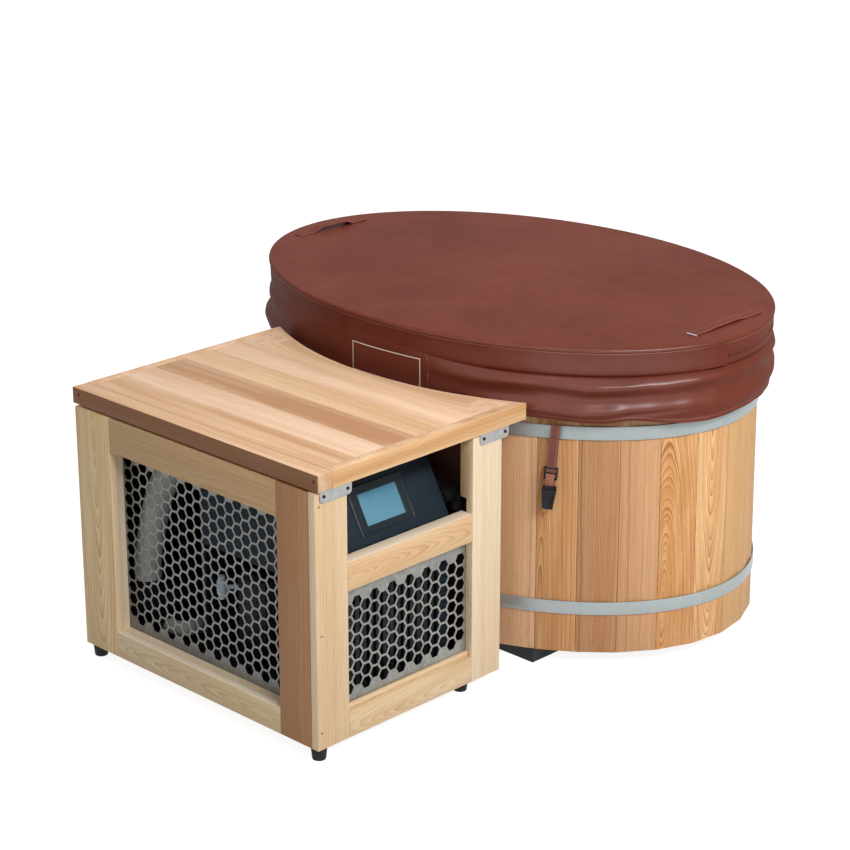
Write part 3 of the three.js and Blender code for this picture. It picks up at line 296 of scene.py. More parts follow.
# %% [markdown]
# ## Cedar finishes
# The cabinet is of pale sapwood, the lid of mixed boards and the staves of warm heartwood, all planed and oiled. One
# recipe serves them with different colours: early wood, streaks, the dark late wood of each ring, and fine fibres.
# Each board brings a tint and a strength of figure of its own in an attribute, as no two boards of a stack are alike.

# %% Mix the cedar finishes


def mix_cedar(tree, shader, place, tint, figure, early, streak, late, ring_width, wander, ring_share):
    """Colours, dulls and raises a cedar surface from its place in the log; figure is how strong the grain shows."""
    grain = use_group(tree, cedar_grain, place=place, ring_width=ring_width, wander=wander)
    colour = blend(tree, calc(tree, "MULTIPLY", grain["Streak"], calc(tree, "MULTIPLY", figure, 0.85)), early, streak)
    colour = blend(tree, calc(tree, "MULTIPLY", grain["Ring"], calc(tree, "MULTIPLY", figure, ring_share)), colour, late)
    colour = blend(tree, calc(tree, "MULTIPLY", grain["Fibre"], 0.24), colour, late)
    colour = blend(tree, 1.0, colour, tint, "MULTIPLY")
    feed(tree, shader.inputs["Base Color"], colour)
    feed(tree, shader.inputs["Roughness"], fit(tree, grain["Ring"], 0, 1, 0.62, 0.5))
    height = calc(tree, "ADD", grain["Ring"], calc(tree, "MULTIPLY", grain["Fibre"], 0.6))
    bump(tree, shader, height, 0.25, 0.0004)


def board_cedar(name, *recipe):
    """Cedar for a modelled board, which carries its place in the log and its tint as attributes."""
    made, tree, shader = start_finish(name, 0.6, specular_ior_level=0.3)
    place = add(tree, "ShaderNodeAttribute", attribute_name="grain_place").outputs["Vector"]
    board = add(tree, "ShaderNodeAttribute", attribute_name="board_tint").outputs
    mix_cedar(tree, shader, place, board["Color"], board["Alpha"], *recipe)
    return made


pale_cedar = board_cedar(
    "pale_cedar", (0.815, 0.635, 0.425), (0.715, 0.50, 0.298), (0.48, 0.285, 0.135), 0.0048, 0.02, 0.46,
)
lid_cedar = board_cedar(
    "lid_cedar", (0.765, 0.53, 0.345), (0.545, 0.31, 0.158), (0.36, 0.17, 0.075), 0.0044, 0.02, 0.34,
)
stave_cedar = board_cedar(
    "stave_cedar", (0.73, 0.43, 0.22), (0.60, 0.305, 0.13), (0.32, 0.12, 0.034), 0.0062, 0.024, 0.66,
)
print("cedar finishes:", pale_cedar.name, lid_cedar.name, stave_cedar.name)

# %% [markdown]
# ## Cedar on the solids that stay
# The right panel, the floors and the stop frame keep their solids, whose joints and holes are already cut. Their
# finish has to find the boards by itself: it counts board widths across the panel and gives every board its own
# random pith and tint. Inside, the cabinet looks black through its openings, so the inner faces get a dark tint as
# painted shade.

# %% Build the panel boards group
panel_boards, taken, given = start_group(
    "panel_boards",
    [("Vector", "NodeSocketVector", None), ("Board Width", "NodeSocketFloat", 0.09)],
    [("Place", "NodeSocketVector"), ("Tint", "NodeSocketColor")],
)
across = add(panel_boards, "ShaderNodeSeparateXYZ", {0: taken["Vector"]}).outputs
number = calc(panel_boards, "FLOOR", calc(panel_boards, "DIVIDE", across["X"], taken["Board Width"]))
chance = add(panel_boards, "ShaderNodeTexWhiteNoise", {"W": number}, noise_dimensions="1D").outputs
draw = add(panel_boards, "ShaderNodeSeparateColor", {0: chance["Color"]}).outputs
middle = calc(panel_boards, "MULTIPLY", calc(panel_boards, "ADD", number, 0.5), taken["Board Width"])
beside = calc(panel_boards, "SUBTRACT", across["X"], middle)
beside = calc(panel_boards, "ADD", beside, fit(panel_boards, draw[0], 0, 1, -0.12, 0.12))
below = calc(panel_boards, "ADD", across["Y"], fit(panel_boards, draw[1], 0, 1, 0.03, 0.12))
along = calc(panel_boards, "ADD", across["Z"], calc(panel_boards, "MULTIPLY", draw[2], 7.0))
place = add(panel_boards, "ShaderNodeCombineXYZ", {0: along, 1: beside, 2: below}).outputs[0]
feed(panel_boards, given["Place"], place)
shade = blend(panel_boards, chance["Value"], (0.86, 0.82, 0.78), (1.03, 1.03, 1.03))
feed(panel_boards, given["Tint"], shade)
print("group:", panel_boards.name)

# %% Mix the panel finishes


def panel_cedar(name, turn, width, recipe, painted_shade=None):
    """Cedar for a panel that keeps its solid: turn brings its boards' width to X and their length to Z.

    The last argument gives the axis, the level and the side (1 or -1) of an inner face, and its dark tint: painted
    shade.
    """
    made, tree, shader = start_finish(name, 0.6, specular_ior_level=0.3)
    object_place = add(tree, "ShaderNodeTexCoord").outputs["Object"]
    shift = tuple(-v for v in cabinet)
    spot = add(tree, "ShaderNodeMapping", {"Vector": object_place, "Location": shift}).outputs[0]
    spot = add(tree, "ShaderNodeMapping", {"Vector": spot, "Rotation": turn}).outputs[0]
    found = use_group(tree, panel_boards, vector=spot, board_width=width)
    tint = found["Tint"]
    if painted_shade:
        # Painted shade: the inner face beyond the level takes the dark tint.
        axis, level, side, shade_tint = painted_shade
        where = add(tree, "ShaderNodeSeparateXYZ", {0: object_place}).outputs[axis]
        in_painted_shade = calc(tree, "GREATER_THAN", calc(tree, "MULTIPLY", where, side), level * side)
        tint = blend(tree, in_painted_shade, tint, shade_tint)
    mix_cedar(tree, shader, found["Place"], tint, 1.0, *recipe)
    return made


skin = 0.0006
pale = ((0.82, 0.585, 0.35), (0.74, 0.49, 0.27), (0.55, 0.33, 0.16), 0.0046, 0.02, 0.34)
warm = ((0.66, 0.37, 0.18), (0.57, 0.29, 0.12), (0.36, 0.15, 0.05), 0.0055, 0.02, 0.42)
sap = ((0.92, 0.79, 0.60), (0.86, 0.70, 0.49), (0.66, 0.45, 0.27), 0.0046, 0.02, 0.25)
quarter = math.pi / 2
# The dark brown and black tints of the right panel's and the floor's inner faces are painted shade for the dark inside.
side_shade_brown, floor_shade_black = (0.18, 0.13, 0.17), (0.04, 0.04, 0.04)
side_painted_shade = (0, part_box("right_panel")[0].x + skin, -1, side_shade_brown)
floor_painted_shade = (2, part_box("cabinet_floor")[1].z - skin, 1, floor_shade_black)
side_boards = panel_cedar("side_boards", (0, 0, quarter), 0.09, pale, side_painted_shade)
floor_boards = panel_cedar("floor_boards", (0, quarter, 0), 0.12, pale, floor_painted_shade)
stop_boards = panel_cedar("stop_boards", (0, 0, quarter), 0.09, sap)
tub_boards = panel_cedar("tub_boards", (quarter, 0, 0), 0.11, warm)
wall_boards = panel_cedar("wall_boards", (0, 0, quarter), 0.0921, warm)
print("panel finishes:", side_boards.name, floor_boards.name, tub_boards.name)

# %% [markdown]
# ## Zinc and steel
# The grilles and brackets are dull galvanised sheet, where the zinc freezes into faint crystals, and the hoops are
# flat galvanised bands with a colder, smoother skin. A cell pattern gives each crystal its own tone, and a soft noise
# the handling marks. Both metals share the group with other sizes and colours.

# %% Build the zinc group and its metals
zinc_bloom, taken, given = start_group(
    "zinc_bloom",
    [("Vector", "NodeSocketVector", None), ("Crystal Size", "NodeSocketFloat", 0.012)],
    [("Crystal", "NodeSocketFloat"), ("Smear", "NodeSocketFloat")],
)
cells = calc(zinc_bloom, "DIVIDE", 1.0, taken["Crystal Size"])
wobble = noise(zinc_bloom, taken["Vector"], 90.0, 2, "Color")
wobble = add(zinc_bloom, "ShaderNodeVectorMath", {0: wobble, 1: (0.012, 0.012, 0.012)}, operation="MULTIPLY")
spread = add(zinc_bloom, "ShaderNodeVectorMath", {0: taken["Vector"], 1: wobble.outputs[0]}, operation="ADD")
crystal = add(zinc_bloom, "ShaderNodeTexVoronoi", {"Vector": spread.outputs[0], "Scale": cells})
tone = add(zinc_bloom, "ShaderNodeSeparateColor", {0: crystal.outputs["Color"]}).outputs[0]
feed(zinc_bloom, given["Crystal"], tone)
cloud = noise(zinc_bloom, taken["Vector"], 9.0, 4)
feed(zinc_bloom, given["Smear"], fit(zinc_bloom, cloud, 0.35, 0.7))


def zinc_finish(name, dark, light, size, rough, metallic):
    """A galvanised surface with its crystals and smears."""
    made, tree, shader = start_finish(name, rough, metallic)
    spot = add(tree, "ShaderNodeTexCoord").outputs["Object"]
    bloom = use_group(tree, zinc_bloom, vector=spot, crystal_size=size)
    share = calc(tree, "MULTIPLY", calc(tree, "ADD", bloom["Crystal"], bloom["Smear"]), 0.5)
    feed(tree, shader.inputs["Base Color"], blend(tree, share, dark, light))
    feed(tree, shader.inputs["Roughness"], fit(tree, bloom["Smear"], 0, 1, rough - 0.07, rough + 0.1))
    bump(tree, shader, bloom["Crystal"], 0.05, 0.0003)
    return made


galvanised = zinc_finish("galvanised_steel", (0.22, 0.222, 0.21), (0.36, 0.36, 0.335), 0.011, 0.45, 0.6)
# The left grille's finish is a darker copy of the galvanised one: painted shade on the cabinet's shaded left side.
painted_shade_zinc = zinc_finish("painted_shade_zinc", (0.155, 0.158, 0.150), (0.25, 0.252, 0.24), 0.011, 0.45, 0.6)
hoop_steel = zinc_finish("hoop_steel", (0.36, 0.405, 0.41), (0.41, 0.455, 0.46), 0.03, 0.42, 0.55)
bracket_steel = zinc_finish("bracket_steel", (0.34, 0.35, 0.34), (0.50, 0.51, 0.50), 0.008, 0.4, 0.7)
print("metals:", galvanised.name, hoop_steel.name, bracket_steel.name)

# %% [markdown]
# ## Moulded and painted surfaces
# Rubber, plastic, powder coat and foam differ in colour and gloss, but all have a fine orange-peel or pebble skin and
# a little dust. One group gives both, and each finish sets how coarse its skin is.

# %% Build the skin group and its finishes
moulded_skin, taken, given = start_group(
    "moulded_skin",
    [("Vector", "NodeSocketVector", None), ("Pebble", "NodeSocketFloat", 0.0015)],
    [("Height", "NodeSocketFloat"), ("Dust", "NodeSocketFloat")],
)
pebbles = noise(moulded_skin, taken["Vector"], calc(moulded_skin, "DIVIDE", 1.0, taken["Pebble"]), 2)
feed(moulded_skin, given["Height"], pebbles)
feed(moulded_skin, given["Dust"], fit(moulded_skin, noise(moulded_skin, taken["Vector"], 14.0, 5), 0.45, 0.75))


def skin_finish(name, colour, dusty, rough, pebble, depth, metallic=0.0):
    """A moulded, foamed or painted surface with its skin and dust."""
    made, tree, shader = start_finish(name, rough, metallic, specular_ior_level=0.25)
    spot = add(tree, "ShaderNodeTexCoord").outputs["Object"]
    skin = use_group(tree, moulded_skin, vector=spot, pebble=pebble)
    feed(tree, shader.inputs["Base Color"], blend(tree, skin["Dust"], colour, dusty))
    feed(tree, shader.inputs["Roughness"], fit(tree, skin["Dust"], 0, 1, rough, min(1.0, rough + 0.2)))
    bump(tree, shader, skin["Height"], 0.3, depth)
    return made


black_rubber = skin_finish("black_rubber", (0.010, 0.010, 0.011), (0.022, 0.022, 0.023), 0.6, 0.002, 0.0004)
black_plastic = skin_finish("black_plastic", (0.009, 0.010, 0.011), (0.018, 0.019, 0.020), 0.4, 0.0012, 0.0002)
# Black paint for the dark parts; the back boards' inner faces also take it as painted shade.
black_paint = skin_finish("black_paint", (0.008, 0.009, 0.010), (0.02, 0.021, 0.022), 0.45, 0.003, 0.0003)
navy_casing = skin_finish("navy_casing", (0.0068, 0.016, 0.026), (0.010, 0.021, 0.032), 0.6, 0.0016, 0.0002)
grey_foam = skin_finish("grey_foam", (0.46, 0.49, 0.46), (0.56, 0.59, 0.56), 0.75, 0.006, 0.0012)
fin_metal = skin_finish("fin_metal", (0.022, 0.023, 0.026), (0.042, 0.044, 0.047), 0.45, 0.003, 0.0002, 0.6)
pale_thread = skin_finish("pale_thread", (0.74, 0.64, 0.60), (0.80, 0.71, 0.67), 0.7, 0.0008, 0.0002)
grip_lining = skin_finish("grip_lining", (0.42, 0.39, 0.40), (0.50, 0.47, 0.48), 0.7, 0.0008, 0.0002)
# A pale finish for the display frame's sides, as a painted highlight along its edges.
painted_edge_highlight = skin_finish("painted_edge_highlight", (0.36, 0.42, 0.46), (0.45, 0.50, 0.54), 0.4, 0.002, 0.0001)
service_cap = skin_finish("service_cap", (0.52, 0.68, 0.76), (0.66, 0.78, 0.84), 0.4, 0.0015, 0.0002)
print("moulded finishes:", black_rubber.name, navy_casing.name, grey_foam.name)

# %% [markdown]
# ## Grained vinyl and its stitching
# The cover is sewn from reddish-brown marine vinyl with a fine leather grain and a soft gloss. The grain is a cell
# pattern in the bump, and broad noise gives the slight mottling. Stitches follow a seam, so each cloth piece says in
# an attribute how far along the seam a point is, and how far it lies from one or two rows of thread.

# %% Build the vinyl and stitch groups
vinyl_grain, taken, given = start_group(
    "vinyl_grain",
    [("Vector", "NodeSocketVector", None), ("Grain Size", "NodeSocketFloat", 0.0016)],
    [("Height", "NodeSocketFloat"), ("Mottle", "NodeSocketFloat")],
)
leather = add(
    vinyl_grain, "ShaderNodeTexVoronoi",
    {"Vector": taken["Vector"], "Scale": calc(vinyl_grain, "DIVIDE", 1.0, taken["Grain Size"])},
    feature="SMOOTH_F1",
).outputs["Distance"]
feed(vinyl_grain, given["Height"], leather)
broad = noise(vinyl_grain, taken["Vector"], 3.4, 3)
small = noise(vinyl_grain, taken["Vector"], 26.0, 3)
cast = calc(vinyl_grain, "ADD", calc(vinyl_grain, "MULTIPLY", broad, 0.7), calc(vinyl_grain, "MULTIPLY", small, 0.3))
feed(vinyl_grain, given["Mottle"], fit(vinyl_grain, cast, 0.36, 0.64))

stitch_row, taken, given = start_group(
    "stitch_row",
    [
        ("Along", "NodeSocketFloat", 0.0),
        ("Away", "NodeSocketFloat", 1.0),
        ("Pitch", "NodeSocketFloat", 0.005),
        ("Width", "NodeSocketFloat", 0.0011),
    ],
    [("Thread", "NodeSocketFloat"), ("Dent", "NodeSocketFloat")],
)
turn = calc(stitch_row, "FRACT", calc(stitch_row, "DIVIDE", taken["Along"], taken["Pitch"]))
dash = calc(stitch_row, "LESS_THAN", turn, 0.72)
away = calc(stitch_row, "DIVIDE", calc(stitch_row, "ABSOLUTE", taken["Away"]), taken["Width"])
feed(stitch_row, given["Thread"], calc(stitch_row, "MULTIPLY", dash, fit(stitch_row, away, 0.35, 0.6, 1, 0)))
feed(stitch_row, given["Dent"], fit(stitch_row, away, 0.6, 2.6, 1, 0))
print("groups:", vinyl_grain.name, stitch_row.name)

# %% Mix the vinyl finishes


def vinyl_finish(name, dark, light, thread, grain_size, rough):
    """Stitched vinyl or webbing, with a soft coat whose gloss the grain hides at flat angles."""
    made, tree, shader = start_finish(name, rough, specular_ior_level=0.0, coat_roughness=0.29)
    facing = add(tree, "ShaderNodeLayerWeight", {"Blend": 0.5}).outputs["Facing"]
    feed(tree, shader.inputs["Coat Weight"], fit(tree, facing, 0.05, 0.27, 0.9, 0.15))
    spot = add(tree, "ShaderNodeTexCoord").outputs["Object"]
    skin = use_group(tree, vinyl_grain, vector=spot, grain_size=grain_size)
    sewn = add(tree, "ShaderNodeAttribute", attribute_name="cloth_place").outputs["Vector"]
    sewn = add(tree, "ShaderNodeSeparateXYZ", {0: sewn}).outputs
    first = use_group(tree, stitch_row, along=sewn["X"], away=sewn["Y"])
    second = use_group(tree, stitch_row, along=sewn["X"], away=sewn["Z"])
    threads = calc(tree, "MAXIMUM", first["Thread"], second["Thread"])
    dent_depth_and_shade = calc(tree, "MAXIMUM", first["Dent"], second["Dent"])
    colour = blend(tree, skin["Mottle"], dark, light)
    # The stitch dents also darken the colour a little: painted shade in the dents, besides the bump below.
    colour = blend(tree, calc(tree, "MULTIPLY", dent_depth_and_shade, 0.25), colour, dark)
    colour = blend(tree, calc(tree, "MULTIPLY", threads, 0.8), colour, thread)
    feed(tree, shader.inputs["Base Color"], colour)
    feed(tree, shader.inputs["Roughness"], fit(tree, skin["Mottle"], 0, 1, rough + 0.05, rough - 0.04))
    height = calc(tree, "MULTIPLY", skin["Height"], 0.35)
    height = calc(tree, "SUBTRACT", height, calc(tree, "MULTIPLY", dent_depth_and_shade, 1.2))
    height = calc(tree, "ADD", height, calc(tree, "MULTIPLY", threads, 1.0))
    bump(tree, shader, height, 0.35, 0.0008)
    return made


maroon_vinyl = vinyl_finish(
    "maroon_vinyl", (0.139, 0.0308, 0.0184), (0.180, 0.0445, 0.0272), (0.44, 0.22, 0.18), 0.0016, 0.45,
)
tan_vinyl = vinyl_finish(
    "tan_vinyl", (0.30, 0.105, 0.055), (0.34, 0.13, 0.07), (0.40, 0.2, 0.14), 0.0016, 0.5,
)
print("vinyl:", maroon_vinyl.name, tan_vinyl.name)

# %% [markdown]
# ## Modelling helpers
# Every board starts as a cube at its size and place. Its place is then applied to the mesh, so the object itself
# stays at the origin, like the solids. A finished piece rides on a body, takes a finish, and may stand for a solid,
# which is then hidden.

# %% Shape and settle helpers


def clear():
    """Leaves edit mode and deselects everything."""
    if bpy.context.object and bpy.context.object.mode != "OBJECT":
        bpy.ops.object.mode_set(mode="OBJECT")
    bpy.ops.object.select_all(action="DESELECT")


def named(name):
    """Names the new object and its mesh, and puts its place into the mesh."""
    piece = bpy.context.object
    piece.name = name
    piece.data.name = name
    bpy.ops.object.transform_apply(location=True, rotation=True, scale=True)
    return piece


def add_box(name, low, high):
    """A cube primitive that fills a box."""
    clear()
    low, high = Vector(low), Vector(high)
    bpy.ops.mesh.primitive_cube_add(size=1, location=(low + high) / 2, scale=high - low)
    return named(name)


def edit(piece, mode="FACE"):
    """Goes into edit mode on one piece with nothing selected."""
    clear()
    piece.select_set(True)
    bpy.context.view_layer.objects.active = piece
    bpy.ops.object.mode_set(mode="EDIT")
    bpy.ops.mesh.select_mode(type=mode)
    bpy.ops.mesh.select_all(action="DESELECT")


def pick(piece, test):
    """Goes into edit mode with only the faces selected that pass a test."""
    edit(piece)
    bpy.ops.object.mode_set(mode="OBJECT")
    for face in piece.data.polygons:
        face.select = test(face)
    bpy.ops.object.mode_set(mode="EDIT")


def done(angle=35):
    """Back to object mode, with smooth shading up to an angle."""
    bpy.ops.object.mode_set(mode="OBJECT")
    bpy.ops.object.shade_smooth_by_angle(angle=math.radians(angle))


def ease_edges(piece, width, segments=2):
    """Bevels every edge, as a plane or sandpaper eases a board."""
    edit(piece, "EDGE")
    bpy.ops.mesh.select_all(action="SELECT")
    bpy.ops.mesh.bevel(offset=width, segments=segments, affect="EDGES")
    done()


def apply_modifier(piece, kind, **settings):
    """Adds a modifier with its settings and applies it."""
    clear()
    piece.select_set(True)
    bpy.context.view_layer.objects.active = piece
    modifier = piece.modifiers.new(kind.title(), kind)
    for key, value in settings.items():
        setattr(modifier, key, value)
    bpy.ops.object.modifier_apply(modifier=modifier.name)


def join_pieces(pieces, name):
    """Joins pieces into the first one."""
    clear()
    for piece in pieces:
        piece.select_set(True)
    bpy.context.view_layer.objects.active = pieces[0]
    if len(pieces) > 1:
        bpy.ops.object.join()
    pieces[0].name = name
    pieces[0].data.name = name
    return pieces[0]


def points_of(piece):
    """The places of a mesh's points."""
    found = np.empty(len(piece.data.vertices) * 3, np.float32)
    piece.data.vertices.foreach_get("co", found)
    return found.reshape(-1, 3).astype(float)


def move_points(piece, places):
    """Sets the places of a mesh's points."""
    piece.data.vertices.foreach_set("co", np.asarray(places, np.float32).ravel())
    piece.data.update()


def keep(piece, label, kind, field, values):
    """Stores an attribute on a mesh's points."""
    made = piece.data.attributes.get(label) or piece.data.attributes.new(label, kind, "POINT")
    made.data.foreach_set(field, np.asarray(values, np.float32).ravel())


def give_grain(piece, along, face, pith, tint, start, tilt=0.0, fine=1.0, figure=1.0):
    """Tells a board where it was in the log: the axes of its grain and of its face, and the pith beside and below it.

    Start moves it along the log. Tilt leans the pith along the board, which draws arches on its face, fine narrows
    the rings, and figure is how strong they show.
    """
    places = points_of(piece)
    local = places - (places.min(0) + places.max(0)) / 2
    beside = local[:, 3 - along - face] + pith[0]
    below = local[:, face] + pith[1] + tilt * local[:, along]
    grain = np.stack([local[:, along] + start, fine * beside, fine * below], axis=1)
    keep(piece, "grain_place", "FLOAT_VECTOR", "vector", grain)
    keep(piece, "board_tint", "FLOAT_COLOR", "color", np.tile((*tint, figure), (len(places), 1)))


def tint_side(piece, axis, side, tint, figure=1.0):
    """Gives one side of a board another tint: sapwood or heartwood where it shows, and painted light on faces in shade.
    """
    reach = side * points_of(piece)[:, axis]
    held = np.empty(len(reach) * 4, np.float32)
    piece.data.attributes["board_tint"].data.foreach_get("color", held)
    held = held.reshape(-1, 4)
    held[reach > reach.max() - 0.0009] = (*tint, figure)
    keep(piece, "board_tint", "FLOAT_COLOR", "color", held)


def settle(piece, finish, body, slot, *solids):
    """Gives a piece its finish and body, and hides the solids that it stands for; the slot is not used."""
    if finish is not None:
        piece.data.materials.clear()
        piece.data.materials.append(finish)
    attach(piece, body)
    if solids:
        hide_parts(*solids)
    return piece


print("modelling helpers ready")

# %% [markdown]
# ## The cabinet's boards
# Nine planed boards make the front and left faces, and six more the back. Each is as large as its solid, with its edges eased by about a
# millimetre, so that a fine bright line runs along every arris. The pith is set near the face and tilted on flat-sawn
# boards, such as the rear stile with its arches, and far to the side where the grain runs straight. A short cleat is
# nailed behind the right stile's open end.

# %% Make the cabinet's boards
cabinet_boards = {
    "front_left_stile": (2, 1, (0.17, 0.05), (1.01, 1.0, 0.99), 1.3, 0.0, 1.0, 1.15),
    "front_right_stile": (2, 1, (0.21, 0.04), (1.11, 1.21, 1.33), 4.1, 0.0, 1.0, 1.05),
    "front_mid_rail": (0, 1, (0.004, 0.036), (1.06, 1.0, 0.93), 7.7, 0.10, 1.2, 1.4),
    "front_lower_rail": (0, 1, (0.006, 0.030), (1.0, 1.01, 1.0), 9.4, -0.10, 1.3, 1.3),
    "front_grille_bead": (0, 1, (0.1, 0.2), (1.03, 1.0, 0.96), 2.9, 0.0, 1.0, 0.8),
    "left_front_stile": (2, 0, (0.14, 0.06), (0.59, 0.41, 0.305), 5.2, 0.0, 1.0, 1.7),
    "left_rear_stile": (2, 0, (0.004, 0.031), (1.09, 1.14, 1.07), 3.6, -0.07, 1.3, 2.2),
    "left_top_rail": (1, 0, (0.05, 0.10), (0.73, 0.635, 0.525), 6.5, 0.0, 1.0, 1.0),
    "left_bottom_rail": (1, 0, (0.003, 0.032), (1.0, 1.10, 1.12), 8.2, 0.06, 1.5, 1.5),
}
# These four faces get a paler tint and weaker figure: painted light on faces that lie in shade, partly paler sapwood.
painted_light_and_sap_sides = {
    "front_mid_rail": (2, 1, (1.18, 1.33, 1.58), 0.5),
    "left_bottom_rail": (2, 1, (1.2, 1.36, 1.62), 0.4),
    "left_rear_stile": (1, -1, (1.2, 1.2, 1.2), 0.5),
    "front_left_stile": (0, -1, (1.04, 1.07, 1.13), 0.6),
}
under_lid, gap = ("left_front_stile", "left_rear_stile", "left_top_rail"), Vector((0, 0, 0.002))
back_low, back_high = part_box("back_panel")
for node, grain_of_board in cabinet_boards.items():
    low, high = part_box(node)
    if node in under_lid:
        high = high - gap
    if node == "left_rear_stile":
        high.y = back_high.y
    board = add_box("board_" + node, low, high)
    ease_edges(board, 0.0011)
    give_grain(board, *grain_of_board)
    if node in painted_light_and_sap_sides:
        tint_side(board, *painted_light_and_sap_sides[node])
    slot = "brown_cedar" if node == "left_front_stile" else "pale_cedar"
    settle(board, pale_cedar, "base", slot, node)
print("cabinet boards:", len(cabinet_boards))

# %% Nail on the back boards
back_width, joint = 0.09, 0.0001
back_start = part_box("left_rear_stile")[1].x
back_edges = [back_start] + [back_low.x + back_width * i for i in range(1, 6)] + [back_high.x]
back_row = []
for i, (left, right) in enumerate(zip(back_edges, back_edges[1:])):
    board = add_box("back_board", (left + joint, back_low.y, back_low.z), (right - joint, back_high.y, back_high.z))
    ease_edges(board, 0.0014)
    shade = (1.0, 0.93, 1.04, 0.96, 1.02, 0.9)[i]
    give_grain(board, 2, 1, (0.05 * (i - 2.4), 0.03), (shade, shade, 0.98 * shade), 2.7 * i, 0.04 * (i - 2), 1.2, 0.9)
    # The inner faces take the black paint finish as painted shade, for the dark inside of the cabinet.
    board.data.materials.append(pale_cedar)
    board.data.materials.append(black_paint)
    for face in board.data.polygons:
        if face.normal.y < -0.9:
            face.material_index = 1
    back_row.append(board)
settle(join_pieces(back_row, "back_boards"), None, "base", "pale_cedar", "back_panel")
print("back boards:", len(back_edges) - 1)

# %% Nail the cleat
stile_low, stile_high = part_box("front_right_stile")
cleat_width, cleat_depth, cleat_foot = 0.038, 0.018, 0.450
cleat = add_box(
    "right_cleat",
    (stile_low.x + 0.0005, stile_high.y, cleat_foot),
    (stile_low.x + cleat_width, stile_high.y + cleat_depth, stile_high.z),
)
ease_edges(cleat, 0.0009)
# The cleat's darker tint is painted shade, for the shade it stands in behind the stile.
give_grain(cleat, 2, 1, (0.12, 0.05), (0.80, 0.74, 0.68), 6.1)
settle(cleat, pale_cedar, "base", "pale_cedar")
print("cleat:", cleat.name)

# %% [markdown]
# ## The lid
# The lid is glued up from boards of different logs, between two end strips and a thick left strip, and sawn to a
# hollow on the tub's side. Boards of one width are placed side by side, a large cylinder cuts the hollow through them
# all with a Boolean, and an angle-limited Bevel eases what the saw left.

# %% Glue up the lid
lid_low, lid_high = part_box("lid_left_strip")
panel_low, panel_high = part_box("lid_panel")
front_low, front_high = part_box("lid_front_strip")
half_lid = (lid_high.y - lid_low.y) / 2
hollow_depth = 0.096
hollow_radius = (half_lid ** 2 + hollow_depth ** 2) / (2 * hollow_depth)
hollow_x = front_high.x - hollow_depth + hollow_radius
hollow_y = (lid_low.y + lid_high.y) / 2
lid_top, lid_bottom = lid_high.z, lid_low.z


def saw_hollow(piece, width=0.0007):
    """Cuts the lid's hollow edge out of a board and eases its edges."""
    clear()
    bpy.ops.mesh.primitive_cylinder_add(
        vertices=420, radius=hollow_radius, depth=0.2, location=(hollow_x, hollow_y, lid_top),
    )
    saw = bpy.context.object
    apply_modifier(piece, "BOOLEAN", operation="DIFFERENCE", object=saw, solver="EXACT")
    bpy.data.objects.remove(saw)
    apply_modifier(piece, "BEVEL", width=width, segments=2, limit_method="ANGLE", angle_limit=math.radians(30))
    edit(piece)
    done()


lid_edges = [panel_low.x + 0.085 * i for i in range(6)] + [panel_low.x + 0.51, panel_high.x]
lid_tints = [
    ((1.03, 1.02, 1.0), (0.13, 0.02), 1.5),
    ((1.12, 1.15, 1.26), (0.22, 0.05), 0.8),
    ((0.84, 0.76, 0.70), (0.03, 0.035), 1.4),
    ((1.04, 1.04, 0.98), (0.14, 0.03), 1.0),
    ((1.12, 1.14, 1.22), (-0.17, 0.04), 0.8),
    ((1.05, 1.06, 1.10), (0.09, 0.05), 0.9),
    ((1.15, 1.19, 1.30), (0.2, 0.06), 0.7),
]
lid_boards = []
for i, (tint, pith, figure) in enumerate(lid_tints):
    low = (lid_edges[i] + joint, panel_low.y, lid_bottom)
    high = (lid_edges[i + 1] - joint, panel_high.y, lid_top)
    board = add_box("lid_board", low, high)
    give_grain(board, 1, 2, pith, tint, 1.7 * i, figure=figure)
    saw_hollow(board)
    lid_boards.append(board)
lid = settle(join_pieces(lid_boards, "lid_boards"), lid_cedar, "lid", "lid_cedar", "lid_panel")
for node, pith, tint, start in (
    ("lid_front_strip", (0.10, 0.06), (1.06, 1.06, 1.08), 11.0),
    ("lid_back_strip", (0.15, 0.04), (1.05, 1.04, 1.05), 13.0),
):
    strip = add_box("board_" + node, *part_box(node))
    give_grain(strip, 0, 2, pith, tint, start)
    saw_hollow(strip, 0.0012)
    if node == "lid_front_strip":
        tint_side(strip, 1, -1, (1.22, 1.2, 1.04), 1.2)
    settle(strip, lid_cedar, "lid", "lid_cedar", node)
print("lid boards:", len(lid_tints), "hollow radius:", round(hollow_radius, 3))

# %% [markdown]
# ## The lid's left strip
# This thick strip was cut where sapwood meets heartwood: its top is as pale as the other boards and its outer face is
# dark brown. The tint is stored on points, so the outer face simply gets another tint than the top. Two screws sit in
# bored holes near its ends, which a Boolean cuts before the edges are eased.

# %% Make the left strip


def bore(piece, place, radius, depth, axis):
    """Bores a blind hole into a board along X or Y."""
    clear()
    turn = (0, quarter, 0) if axis == 0 else (quarter, 0, 0)
    bpy.ops.mesh.primitive_cylinder_add(vertices=24, radius=radius, depth=2 * depth, location=place, rotation=turn)
    drill = bpy.context.object
    apply_modifier(piece, "BOOLEAN", operation="DIFFERENCE", object=drill, solver="EXACT")
    bpy.data.objects.remove(drill)


left_strip = add_box("board_lid_left_strip", lid_low, lid_high)
ease_edges(left_strip, 0.0012)
strip_screws = [at(2, 5, 615), at(2, 742, 616)]
for place in strip_screws:
    bore(left_strip, place, 0.0042, 0.006, 0)
give_grain(left_strip, 1, 2, (0.12, 0.03), (1.0, 0.97, 0.95), 15.0)
tint_side(left_strip, 0, -1, (0.37, 0.255, 0.172))
settle(left_strip, lid_cedar, "lid", "brown_cedar", "lid_left_strip")
print("left strip points:", len(left_strip.data.vertices))

